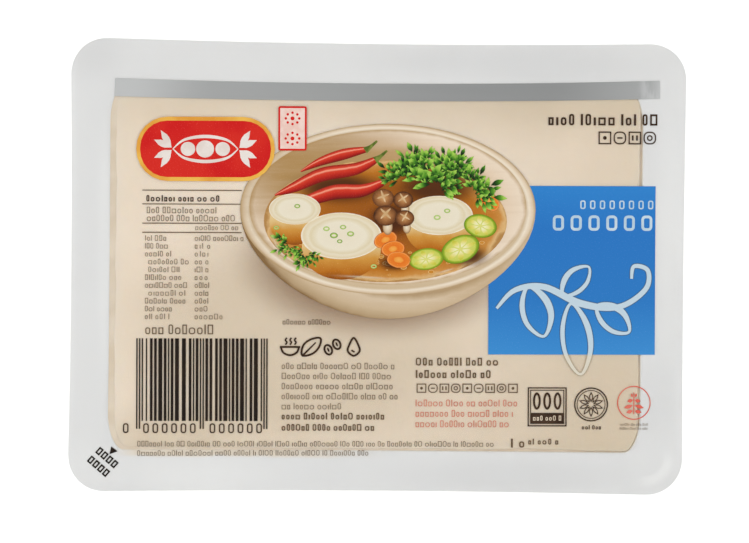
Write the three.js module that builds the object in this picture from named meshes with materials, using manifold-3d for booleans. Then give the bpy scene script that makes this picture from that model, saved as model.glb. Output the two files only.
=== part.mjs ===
// A sealed pack of silken tofu: a thin plastic tub with a wide flange, the block that has set inside it,
// and a clear printed film welded to the flange.
//
// Millimetres, +Z up. X runs along the long side and Y along the short one. The origin is under the
// middle of the flange, at the height of the surface that the tub's foot stands on.

import * as THREE from 'three';
import Module from 'manifold-3d';
import { mergeVertices } from 'three/addons/utils/BufferGeometryUtils.js';

// ---- Driving dimensions

const bow = { right: 0.3, back: 0.95, left: 0.55, front: 0.75 }; // how far each side has shrunk inwards
const flange = { length: 148, width: 109, radius: 9, bow, thickness: 0.75 };
const tubTop = 30.5; // height of the flange's upper face
const filmThickness = 0.25;

const mouth = { length: 128, width: 87.4, radius: 5, x: -0.4, y: -0.5 }; // inside of the tub's walls
const wall = 0.8; // thickness of the tub's walls and floor
const draft = THREE.MathUtils.degToRad(6); // lean of the side walls
const lipRadius = 0.8; // where the flange turns down into the mouth
const heelRadius = 4.5; // where the walls turn into the floor
const panelRise = 0.8; // the floor's middle stands this high off the foot
const panelInset = 8; // from the end of the heel to the raised middle
const panelRadius = 6;

const clearance = 0.35; // between the block and the tub
const headroom = 0.35; // between the block and the film
const blockEdgeRadius = 0.8;
const unevenness = 0.45; // how far the block's rim wanders in from the wall

const ink = { thickness: 0.125, gap: 0.3 };
const printTurn = THREE.MathUtils.degToRad(0.35); // the print is a little out of square with the flange
const band = { length: 131, width: 4.4, radius: 0.1, bow, x: 2.35, y: 42.6 };
const panel = { length: 40.4, width: 40.6, radius: 0.3, x: 46.8, y: -0.6 };
const badge = { length: 31, width: 13.2, radius: 6.5, x: -41.4, y: 28.2, rim: 0.8 };
const dish = { length: 71, back: 20.5, front: 26.3, taper: 0.14, x: 2.4, y: 13.9 }; // seen at a slant
const dishMouth = { length: 64, width: 36, x: 2.4, y: 14.4 };

// ---- How finely the curves are divided

const sideSteps = 6; // chords along each bowed side
const cornerSteps = 10; // chords in each rounded corner
const turnSteps = 5; // chords in the profile's small radii
const ovalSteps = 40;

// ---- Outlines

/** Points along one side from corner to corner, pulled by a control point, without the last. */
function sidePoints(from, control, to) {
  const [start, middle, end] = [from, control, to].map(([x, y]) => new THREE.Vector2(x, y));
  return new THREE.QuadraticBezierCurve(start, middle, end).getPoints(sideSteps).slice(0, -1);
}

/** Points round one corner's quarter circle, without the last. */
function cornerPoints(x, y, radius, quarter) {
  const start = (quarter * Math.PI) / 2;
  const arc = new THREE.EllipseCurve(x, y, radius, radius, start, start + Math.PI / 2);
  return arc.getPoints(cornerSteps).slice(0, -1);
}

/**
 * Points round a rectangle with rounded corners, anticlockwise from above.
 * Each side bows inwards by its own amount, and x and y are the rectangle's middle.
 */
function roundedOutline({ length, width, radius, bow: inwards = {}, x: midX = 0, y: midY = 0 }) {
  const { right = 0, back = 0, left = 0, front = 0 } = inwards;
  const [x, y] = [length / 2, width / 2];
  const [arcX, arcY] = [x - radius, y - radius];
  const points = [
    ...sidePoints([x, -arcY], [x - 2 * right, 0], [x, arcY]),
    ...cornerPoints(arcX, arcY, radius, 0),
    ...sidePoints([arcX, y], [0, y - 2 * back], [-arcX, y]),
    ...cornerPoints(-arcX, arcY, radius, 1),
    ...sidePoints([-x, arcY], [2 * left - x, 0], [-x, -arcY]),
    ...cornerPoints(-arcX, -arcY, radius, 2),
    ...sidePoints([-arcX, -y], [0, 2 * front - y], [arcX, -y]),
    ...cornerPoints(arcX, -arcY, radius, 3),
  ];
  return points.map((p) => p.add(new THREE.Vector2(midX, midY)));
}

/** A rectangle's outline grown by a distance on every side, or shrunk where the distance is negative. */
function grown(rectangle, by, radius = rectangle.radius + by) {
  const length = rectangle.length + 2 * by;
  const width = rectangle.width + 2 * by;
  return roundedOutline({ ...rectangle, length, width, radius });
}

// ---- Solids

/** A closed solid through rings of equal point count, each { outline, z }, with its first and last ring filled. */
function loft(rings) {
  const count = rings[0].outline.length;
  const positions = [];
  const faces = [];
  for (const { outline, z } of rings) {
    for (const p of outline) positions.push(p.x, p.y, z);
  }
  for (let ring = 0; ring < rings.length - 1; ring++) {
    for (let i = 0; i < count; i++) {
      const a = ring * count + i;
      const b = ring * count + ((i + 1) % count);
      faces.push(a, b, b + count, a, b + count, a + count);
    }
  }
  const capRing = (ring, facingUp) => {
    const centre = positions.length / 3;
    const { outline, z } = rings[ring];
    const middle = outline.reduce((sum, p) => sum.add(p), new THREE.Vector2()).divideScalar(count);
    positions.push(middle.x, middle.y, z);
    for (let i = 0; i < count; i++) {
      const a = ring * count + i;
      const b = ring * count + ((i + 1) % count);
      faces.push(centre, ...(facingUp ? [a, b] : [b, a]));
    }
  };
  capRing(0, false);
  capRing(rings.length - 1, true);
  const geometry = new THREE.BufferGeometry();
  geometry.setAttribute('position', new THREE.Float32BufferAttribute(positions, 3));
  geometry.setIndex(faces);
  geometry.computeVertexNormals();
  return geometry;
}

/** A flat plate of an outline, from z upwards, with a hole through it if one is given. */
function plate(outline, z, thickness, hole) {
  const shape = new THREE.Shape(outline);
  if (hole) shape.holes.push(new THREE.Path(hole));
  return new THREE.ExtrudeGeometry(shape, { depth: thickness, bevelEnabled: false }).translate(0, 0, z);
}

/** How far the side wall's inner face has leant in from the mouth at a height. */
function lean(z) {
  return (tubTop - z) * Math.tan(draft);
}

/** Rings round the floor's raised middle, from the middle out to its foot, for a floor at a height. */
function panelRings(floor) {
  const inset = lean(wall + heelRadius) + heelRadius + panelInset;
  return [
    { outline: grown(mouth, -inset, panelRadius), z: floor + panelRise },
    { outline: grown(mouth, panelRise - inset, panelRadius + panelRise), z: floor },
  ];
}

/** Rings of a wall that leans in and turns through the heel onto a floor, from the floor upwards. */
function heelRings(floor, radius, outwards) {
  const rings = [];
  for (let step = 0; step <= turnSteps; step++) {
    const turn = (step / turnSteps) * (Math.PI / 2);
    const inwards = lean(floor + radius) + radius * (1 - Math.sin(turn));
    const outline = grown(mouth, outwards - inwards, mouth.radius + outwards);
    rings.push({ outline, z: floor + radius * (1 - Math.cos(turn)) });
  }
  return rings;
}

/** The tub: foot, leaning walls and flange as one thin shell, open at the top. */
function tubGeometry() {
  const outerHeel = heelRings(0, heelRadius + wall, wall);
  const innerHeel = heelRings(wall, heelRadius, 0);
  const under = tubTop - flange.thickness;
  const lip = [];
  for (let step = 0; step <= turnSteps; step++) {
    const turn = (step / turnSteps) * (Math.PI / 2);
    lip.push({
      outline: grown(mouth, lipRadius * (1 - Math.sin(turn))),
      z: tubTop - lipRadius * (1 - Math.cos(turn)),
    });
  }
  return loft([
    ...panelRings(0),
    ...outerHeel,
    { outline: grown(mouth, wall), z: under - lipRadius },
    { outline: grown(mouth, wall + lipRadius / 2), z: under },
    { outline: roundedOutline(flange), z: under },
    { outline: roundedOutline(flange), z: tubTop },
    ...lip,
    ...innerHeel.reverse(),
    ...panelRings(wall).reverse(),
  ]);
}

/** How far the block's rim stands in from the wall at an angle round it. */
function rimWander(turn) {
  return unevenness * (0.5 + 0.28 * Math.sin(3 * turn + 0.7) + 0.22 * Math.sin(7 * turn + 2.1));
}

/** An outline drawn in towards the middle by the rim's wander. */
function wandering(outline) {
  return outline.map((p) => p.clone().setLength(p.length() - rimWander(p.angle())));
}

/** The block of tofu: it fills the tub up to the film, and its rim is a little uneven. */
function blockGeometry() {
  const floor = wall + clearance;
  const top = tubTop - headroom;
  const shoulder = top - blockEdgeRadius;
  const heel = heelRings(floor, heelRadius - clearance, -clearance);
  const edge = [];
  for (let step = 0; step <= turnSteps; step++) {
    const turn = (step / turnSteps) * (Math.PI / 2);
    const inwards = clearance + lean(shoulder) + blockEdgeRadius * (1 - Math.cos(turn));
    edge.push({
      outline: wandering(grown(mouth, -inwards, mouth.radius - clearance)),
      z: shoulder + blockEdgeRadius * Math.sin(turn),
    });
  }
  return loft([...panelRings(floor), ...heel, ...edge]);
}

/** The film: a flat sheet cut flush with the flange. */
function filmGeometry() {
  return plate(roundedOutline(flange), tubTop, filmThickness);
}

// ---- Print: each field of colour is a thin plate on the film

const printBase = tubTop + filmThickness;

/** A field of ink with an outline, and with a hole through it if one is given. */
function inkField(outline, hole) {
  return plate(outline, printBase, ink.thickness, hole);
}

/** The outline of the dish's mouth, shrunk by a distance on every side. */
function dishMouthOutline(by = 0) {
  const { length, width, x, y } = dishMouth;
  const oval = new THREE.EllipseCurve(x, y, length / 2 - by, width / 2 - by);
  return oval.getPoints(ovalSteps).slice(0, -1);
}

/** The whole dish's outline, grown by a distance: half an oval at the back, and a tapered bowl in front. */
function dishOutline(by = 0) {
  const points = [];
  for (let step = 0; step < ovalSteps; step++) {
    const turn = (step / ovalSteps) * 2 * Math.PI;
    const rise = Math.sin(turn);
    const reach = Math.cos(turn) * (dish.length / 2 + by) * (1 - dish.taper * Math.min(rise, 0) ** 2);
    const depth = rise > 0 ? dish.back + by : dish.front + by;
    points.push(new THREE.Vector2(dish.x + reach, dish.y + rise * depth));
  }
  return points;
}

/** The gold rim that stands off the badge's field by the gap between inks. */
function badgeRimGeometry() {
  return inkField(grown(badge, ink.gap + badge.rim), grown(badge, ink.gap));
}

/** The broth inside the dish's rim. */
function brothGeometry() {
  return inkField(dishMouthOutline(ink.gap));
}

// ---- Boolean cuts

const wasm = await Module();
wasm.setup();

/** A geometry as a solid that can be cut. */
function toSolid(geometry) {
  const bare = geometry.clone();
  bare.deleteAttribute('normal');
  bare.deleteAttribute('uv');
  const merged = mergeVertices(bare, 1e-4);
  return new wasm.Manifold(
    new wasm.Mesh({
      numProp: 3,
      vertProperties: merged.attributes.position.array,
      triVerts: new Uint32Array(merged.index.array),
    }),
  );
}

/** A cut solid as a geometry. */
function toGeometry(solid) {
  const mesh = solid.getMesh();
  const geometry = new THREE.BufferGeometry();
  geometry.setAttribute('position', new THREE.BufferAttribute(mesh.vertProperties, 3));
  geometry.setIndex(new THREE.BufferAttribute(mesh.triVerts, 1));
  geometry.computeVertexNormals();
  return geometry;
}

/** A field of ink, cut back where another print's outline lies over it. */
function cutBack(field, outline) {
  const keepOut = toSolid(plate(outline, printBase - 1, ink.thickness + 2));
  return toGeometry(toSolid(field).subtract(keepOut));
}

/** The square panel, which the dish overlaps. */
function panelGeometry() {
  return cutBack(inkField(roundedOutline(panel)), dishOutline(ink.gap));
}

/** The dish's rim and front wall, which the badge overlaps. */
function dishGeometry() {
  return cutBack(inkField(dishOutline(), dishMouthOutline()), grown(badge, 2 * ink.gap + badge.rim));
}

// ---- Materials

const finishes = {
  frostedPlastic: new THREE.MeshStandardMaterial({ color: 0xe2e2e0, roughness: 0.45, metalness: 0 }),
  tofu: new THREE.MeshStandardMaterial({ color: 0xe6d6bf, roughness: 0.4, metalness: 0 }),
  clearFilm: new THREE.MeshStandardMaterial({
    color: 0xffffff,
    roughness: 0.15,
    metalness: 0,
    transparent: true,
    opacity: 0.15,
  }),
  silverInk: new THREE.MeshStandardMaterial({ color: 0xa2a2a0, roughness: 0.35, metalness: 0.3 }),
  blueInk: new THREE.MeshStandardMaterial({ color: 0x2f7fca, roughness: 0.25, metalness: 0 }),
  redInk: new THREE.MeshStandardMaterial({ color: 0xd5281f, roughness: 0.25, metalness: 0 }),
  goldInk: new THREE.MeshStandardMaterial({ color: 0xf2b44a, roughness: 0.25, metalness: 0 }),
  clayInk: new THREE.MeshStandardMaterial({ color: 0xd8c6a6, roughness: 0.3, metalness: 0 }),
  brothInk: new THREE.MeshStandardMaterial({ color: 0xb87f45, roughness: 0.3, metalness: 0 }),
};

// ---- The pack

/** A named mesh, which is one piece of the pack. */
function piece(name, geometry, material) {
  const mesh = new THREE.Mesh(geometry, material);
  mesh.name = name;
  return mesh;
}

const print = new THREE.Group();
print.rotation.z = printTurn;
print.add(
  piece('print_band', inkField(roundedOutline(band)), finishes.silverInk),
  piece('print_panel', panelGeometry(), finishes.blueInk),
  piece('print_badge', inkField(roundedOutline(badge)), finishes.redInk),
  piece('print_badge_rim', badgeRimGeometry(), finishes.goldInk),
  piece('print_dish', dishGeometry(), finishes.clayInk),
  piece('print_broth', brothGeometry(), finishes.brothInk),
);

const pack = new THREE.Group();
pack.add(
  piece('tray', tubGeometry(), finishes.frostedPlastic),
  piece('tofu', blockGeometry(), finishes.tofu),
  piece('film', filmGeometry(), finishes.clearFilm),
  print,
);

export default pack;
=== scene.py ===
"""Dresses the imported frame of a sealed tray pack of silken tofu.

The pack is a milky plastic tub with a wide flange, a block of tofu that fills it, and a clear film
welded to the flange, whose printed fields, bars and rows of blocks are thin closed sheets on it.
Sizes are in metres, but the print's, and those whose names end in _mm, are in millimetres. +X is the
long side, +Y the far side and +Z up.
"""

from __future__ import annotations

import itertools
import logging
import math
import random
from contextlib import contextmanager
from dataclasses import dataclass, field
from enum import Enum, IntEnum
from typing import Callable, Iterable, Iterator, Union

import bmesh
import bpy
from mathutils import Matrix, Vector


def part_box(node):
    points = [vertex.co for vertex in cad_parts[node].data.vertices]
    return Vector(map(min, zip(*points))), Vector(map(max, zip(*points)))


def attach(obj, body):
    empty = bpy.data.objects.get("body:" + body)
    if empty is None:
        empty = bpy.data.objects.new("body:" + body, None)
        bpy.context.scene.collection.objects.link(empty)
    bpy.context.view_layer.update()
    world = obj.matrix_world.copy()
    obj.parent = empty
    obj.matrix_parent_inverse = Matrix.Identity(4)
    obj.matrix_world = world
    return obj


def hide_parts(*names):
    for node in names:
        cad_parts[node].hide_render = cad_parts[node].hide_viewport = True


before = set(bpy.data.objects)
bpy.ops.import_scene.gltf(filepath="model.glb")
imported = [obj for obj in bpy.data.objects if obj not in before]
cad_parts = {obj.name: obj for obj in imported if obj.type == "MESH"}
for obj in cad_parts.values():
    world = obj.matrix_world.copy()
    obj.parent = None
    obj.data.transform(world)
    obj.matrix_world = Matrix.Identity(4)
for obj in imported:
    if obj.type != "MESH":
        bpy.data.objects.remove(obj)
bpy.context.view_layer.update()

logging.basicConfig(level=logging.INFO, format="%(message)s")
log = logging.getLogger("pack")

MM = 0.001
NEAR = 0.01 * MM  # heights that differ by less are the same
Number = Union["Value", float]
Colour = tuple[float, float, float, float]
Stops = tuple[tuple[float, Colour], ...]  # places from 0 to 1, each with a colour
Point = tuple[float, float]
Knot = tuple[float, float, float]  # X, Y and width
Piece = bpy.types.Object
Node = bpy.types.Node
Socket = bpy.types.NodeSocket
Material = bpy.types.Material
Edge = bmesh.types.BMEdge
Dice = random.Random


# ---- The bench: operators on one mesh at a time


class Kind(Enum):
    """The kinds of mesh element that can be selected."""

    EDGE = ("EDGE", "edges")
    FACE = ("FACE", "faces")


def middle(element: Edge | bmesh.types.BMFace) -> Vector:
    """The middle of an edge or a face."""
    return sum((v.co for v in element.verts), Vector()) / len(element.verts)


def bends(edge: Edge, height: float, degrees: float = 20) -> bool:
    """Whether an edge lies level at a height and its faces meet at more than an angle."""
    level = all(abs(v.co.z - height) < NEAR for v in edge.verts)
    return level and len(edge.link_faces) == 2 and edge.calc_face_angle(0.0) > math.radians(degrees)


def past(place: Vector, size: Point) -> float:
    """How far a place stands out past a rectangle about the origin, and below 0 inside it."""
    return max(abs(place.x) - size[0] / 2, abs(place.y) - size[1] / 2)


def heading(degrees: float) -> Vector:
    """A step of 1 in the plane, turned anticlockwise from the right."""
    return Vector((math.cos(math.radians(degrees)), math.sin(math.radians(degrees))))


@contextmanager
def alone(piece: Piece) -> Iterator[None]:
    """Makes a piece the only selected and active object while operators act on it.

    Args:
        piece: the object to work on, in object mode.
    """
    bpy.ops.object.select_all(action="DESELECT")
    piece.select_set(True)
    bpy.context.view_layer.objects.active = piece
    yield
    piece.select_set(False)


def apply_modifier(piece: Piece, kind: str, **settings: object) -> None:
    """Adds a modifier to a piece and applies it.

    Args:
        piece: the object to change, in object mode.
        kind: the modifier's type.
        settings: the modifier's properties.
    """
    with alone(piece):
        modifier = piece.modifiers.new(kind.lower(), kind)
        for name, value in settings.items():
            setattr(modifier, name, value)
        bpy.ops.object.modifier_apply(modifier=modifier.name)


def displace(
    piece: Piece, texture: bpy.types.Texture, way: str, most: float, neutral: float, group: str
) -> None:
    """Moves a piece, or a vertex group of it, along an axis by how far a texture is from neutral."""
    settings = {"texture_coords": "LOCAL", "direction": way, "mid_level": neutral, "vertex_group": group}
    apply_modifier(piece, "DISPLACE", texture=texture, strength=most, **settings)


class Workpiece:
    """A mesh that is held in edit mode while operators shape it."""

    straight = 20 * MM  # edges longer than this are divided when an outline is opened

    def __init__(self, name: str) -> None:
        """Starts an empty mesh.

        Args:
            name: the finished piece's name.
        """
        bpy.ops.object.select_all(action="DESELECT")
        bpy.ops.mesh.primitive_plane_add()
        self.object = bpy.context.object
        self.object.name = self.object.data.name = name
        bpy.ops.object.mode_set(mode="EDIT")
        bpy.ops.mesh.delete(type="VERT")

    @property
    def mesh(self) -> bmesh.types.BMesh:
        """The mesh as it is being edited."""
        return bmesh.from_edit_mesh(self.object.data)

    def select(self, kind: Kind, test: Callable[[object], bool]) -> None:
        """Selects the elements that pass a test, and nothing else.

        Args:
            kind: which elements to look through.
            test: says whether an element is wanted.
        """
        bpy.ops.mesh.select_all(action="DESELECT")
        bpy.ops.mesh.select_mode(type=kind.value[0])
        mesh = self.mesh
        for element in getattr(mesh, kind.value[1]):
            if test(element):
                element.select_set(True)
        mesh.select_flush_mode()

    def select_all(self) -> None:
        """Selects the whole mesh."""
        bpy.ops.mesh.select_mode(type="VERT")
        bpy.ops.mesh.select_all(action="SELECT")

    def rectangle(
        self, size: Point, at: Vector, radius: float = 0.0, steps: int = 12, squeeze: float = 1.0
    ) -> None:
        """Adds one flat face, a rectangle whose corners may be round, and leaves it selected.

        Args:
            size: its length and width.
            at: its middle.
            radius: the corners' radius along Y, or 0 for square corners.
            steps: the chords in each round corner.
            squeeze: the corners' radius along X, as a share of the one along Y.
        """
        bpy.ops.mesh.select_mode(type="VERT")
        bpy.ops.mesh.select_all(action="DESELECT")
        bpy.ops.mesh.primitive_plane_add(size=1, location=at)
        bpy.ops.transform.resize(value=(size[0] / squeeze, size[1], 1), center_override=at)
        if radius:
            bpy.ops.mesh.bevel(offset=radius, segments=steps, affect="VERTICES", profile=0.5)
        if squeeze != 1:
            bpy.ops.transform.resize(value=(squeeze, 1, 1), center_override=at)

    def open_and_divide(self, cuts: int) -> None:
        """Turns the selected face into its outline, with its straight sides divided.

        Args:
            cuts: the new vertices on each side.
        """
        bpy.ops.mesh.delete(type="ONLY_FACE")
        self.select(Kind.EDGE, lambda e: not e.link_faces and e.calc_length() > self.straight)
        bpy.ops.mesh.subdivide(number_cuts=cuts)

    def push_edges(self, down: float, size: Point, by: float, about: Vector) -> None:
        """Extrudes the selected loop of edges downwards and draws it in by the same amount all round.

        Args:
            down: how far it moves down.
            size: the loop's present length and width.
            by: how far each side moves in.
            about: the middle that it is drawn towards.
        """
        bpy.ops.mesh.extrude_edges_move(TRANSFORM_OT_translate={"value": (0, 0, -down)})
        shares = [(side - 2 * by) / side for side in size]
        bpy.ops.transform.resize(value=(shares[0], shares[1], 1), center_override=about)

    def round_off(self, test: Callable[[object], bool], radius: float, steps: int) -> None:
        """Rounds the edges that pass a test, by a radius and in a number of chords."""
        self.select(Kind.EDGE, test)
        bpy.ops.mesh.bevel(offset=radius, segments=steps, profile=0.5, affect="EDGES")

    def hollow(self, line: float) -> None:
        """Leaves only a line inside the outline of the shape that is selected.

        Args:
            line: the line's width.
        """
        bpy.ops.mesh.select_mode(type="FACE")
        bpy.ops.mesh.inset(thickness=line, use_even_offset=True)
        bpy.ops.mesh.delete(type="FACE")

    def cut_grid(self, step: float) -> None:
        """Cuts the mesh along square grid lines, so that it can bend.

        Args:
            step: the distance between the lines.
        """
        for axis in (0, 1):
            places = [v.co[axis] for v in self.mesh.verts]
            line = (math.floor(min(places) / step) + 1) * step
            across = Vector((1, 0, 0)) if axis == 0 else Vector((0, 1, 0))
            while line < max(places) - 0.1 * MM:
                self.select_all()
                bpy.ops.mesh.bisect(plane_co=across * line, plane_no=across)
                line += step

    def face_up(self) -> None:
        """Turns the mesh's faces so that the highest flat ones look up."""
        self.select_all()
        bpy.ops.mesh.normals_make_consistent(inside=False)
        flat = max(self.mesh.faces, key=lambda f: (round(middle(f).z, 5), abs(f.normal.z)))
        if flat.normal.z < 0:
            bpy.ops.mesh.flip_normals()

    def all_up(self) -> None:
        """Turns every face of a flat mesh so that it looks up."""
        bmesh.ops.reverse_faces(self.mesh, faces=[f for f in self.mesh.faces if f.normal.z < 0])
        bmesh.update_edit_mesh(self.object.data)

    def done(self) -> Piece:
        """Leaves edit mode, and gives the mesh's object."""
        bpy.ops.object.mode_set(mode="OBJECT")
        return self.object


# ---- The pack's sizes, and what bends all of it alike


@dataclass(frozen=True)
class PackSizes:
    """The heights and outline that the pieces share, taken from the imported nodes."""

    length: float
    width: float
    rim: float  # height of the flange's upper face
    lift: float = 0.05 * MM  # between the flange and the film
    film: float = 0.05 * MM
    corner: float = 9 * MM

    @classmethod
    def read(cls) -> PackSizes:
        """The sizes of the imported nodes."""
        low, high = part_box("tray")
        return cls(high.x - low.x, high.y - low.y, high.z)

    @property
    def film_top(self) -> float:
        """Height of the film's upper face."""
        return self.rim + self.lift + self.film


@dataclass
class Warp:
    """What the heat of sealing did: the flange's sides drew in, and the top is not quite flat."""

    sizes: PackSizes
    bow_right: float = 0.3 * MM
    bow_back: float = 0.95 * MM
    bow_left: float = 0.55 * MM
    bow_front: float = 0.75 * MM
    stiff: float = 0.76  # how far out, as a share of the flange's half width, the tub keeps its shape
    ripple: float = 0.06 * MM  # the most that the top dips
    ripple_size: float = 26 * MM
    cage: Piece = field(init=False)
    texture: bpy.types.Texture = field(init=False)

    def __post_init__(self) -> None:
        """Builds the cage that bends outlines and the texture that dents the top."""
        bpy.ops.object.select_all(action="DESELECT")
        bpy.ops.object.add(type="LATTICE")
        self.cage = bpy.context.object
        self.cage.name = "warp_cage"
        self.cage.scale = (self.sizes.length, self.sizes.width, 1)
        lattice = self.cage.data
        lattice.points_u = lattice.points_v = 17
        lattice.points_w = 2
        lattice.interpolation_type_u = lattice.interpolation_type_v = "KEY_CATMULL_ROM"
        lattice.interpolation_type_w = "KEY_LINEAR"
        for point in lattice.points:
            across, along = 2 * point.co.x, 2 * point.co.y
            sideways = self.bow_right if across > 0 else self.bow_left
            lengthways = self.bow_back if along > 0 else self.bow_front
            point.co_deform.x -= sideways * self.give(across) * (1 - along**2) / self.sizes.length
            point.co_deform.y -= lengthways * self.give(along) * (1 - across**2) / self.sizes.width
        self.texture = bpy.data.textures.new("ripple", "CLOUDS")
        self.texture.noise_scale = self.ripple_size
        self.texture.noise_depth = 1

    def give(self, out: float) -> float:
        """How much of the bow there is at a share of the way out from the middle."""
        return math.copysign(max(0.0, abs(out) - self.stiff) / (1 - self.stiff), out)

    def bend(self, piece: Piece) -> None:
        """Draws a piece in with the flange's sides."""
        bpy.context.view_layer.update()
        apply_modifier(piece, "LATTICE", object=self.cage)

    def dent(self, piece: Piece, group: str = "") -> None:
        """Lowers a piece, or a vertex group of it, by the same slight dents that the film has."""
        displace(piece, self.texture, "Z", self.ripple, 1.0, group)

    def lay(self, sheet: Piece, thickness: float) -> Piece:
        """Gives a flat sheet its thickness, downwards, and bends and dents it as the film is.

        Args:
            sheet: the sheet.
            thickness: how thick it becomes.

        Returns:
            the sheet.
        """
        apply_modifier(sheet, "SOLIDIFY", thickness=thickness, offset=-1)
        self.bend(sheet)
        self.dent(sheet)
        return sheet

    def put_away(self) -> None:
        """Removes the cage."""
        bpy.data.objects.remove(self.cage)


# ---- Shaders


def srgb(red: int, green: int, blue: int) -> Colour:
    """A screen colour from 0 to 255 as the linear colour that shaders take."""
    shares = [c / 255 for c in (red, green, blue)]
    return (*(c / 12.92 if c <= 0.04045 else ((c + 0.055) / 1.055) ** 2.4 for c in shares), 1.0)


def run(*stops: tuple[float, int, int, int]) -> Stops:
    """A run of colours, each given as its place from 0 to 1 and its screen colour."""
    return tuple((place, srgb(*colour)) for place, *colour in stops)


class Value:
    """A number that varies over a surface. Arithmetic on it adds Math nodes."""

    def __init__(self, graph: Graph, socket: Socket) -> None:
        """Wraps an output socket of a graph."""
        self.graph = graph
        self.socket = socket

    def _math(self, operation: str, *numbers: Number) -> Value:
        """Adds a Math node on numbers, of which this may be any."""
        node = self.graph.node("Math", {"operation": operation}, dict(enumerate(numbers)))
        return Value(self.graph, node.outputs[0])

    def __add__(self, other: Number) -> Value:
        """This plus another."""
        return self._math("ADD", self, other)

    def __radd__(self, other: Number) -> Value:
        """Another plus this."""
        return self._math("ADD", other, self)

    def __sub__(self, other: Number) -> Value:
        """This minus another."""
        return self._math("SUBTRACT", self, other)

    def __rsub__(self, other: Number) -> Value:
        """Another minus this."""
        return self._math("SUBTRACT", other, self)

    def __mul__(self, other: Number) -> Value:
        """This times another."""
        return self._math("MULTIPLY", self, other)

    def __rmul__(self, other: Number) -> Value:
        """Another times this."""
        return self._math("MULTIPLY", other, self)

    def __truediv__(self, other: Number) -> Value:
        """This over another."""
        return self._math("DIVIDE", self, other)

    def __pow__(self, power: float) -> Value:
        """This to a power."""
        return self._math("POWER", self, power)

    def __lt__(self, other: Number) -> Value:
        """1 where this is less than another, and 0 elsewhere."""
        return self._math("LESS_THAN", self, other)

    def between(self, low: float, high: float) -> Value:
        """A smooth step, which may run either way.

        Args:
            low: where it is 0.
            high: where it is 1.

        Returns:
            the step.
        """
        settings = {"interpolation_type": "SMOOTHSTEP"}
        ends = (low, high, 0.0, 1.0) if low < high else (high, low, 1.0, 0.0)
        names = ("From Min", "From Max", "To Min", "To Max")
        node = self.graph.node("MapRange", settings, {"Value": self, **dict(zip(names, ends))})
        return Value(self.graph, node.outputs["Result"])


def distance_out(across: Value, along: Value) -> Value:
    """The distance from the middle of two coordinates."""
    return (across * across + along * along) ** 0.5


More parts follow.
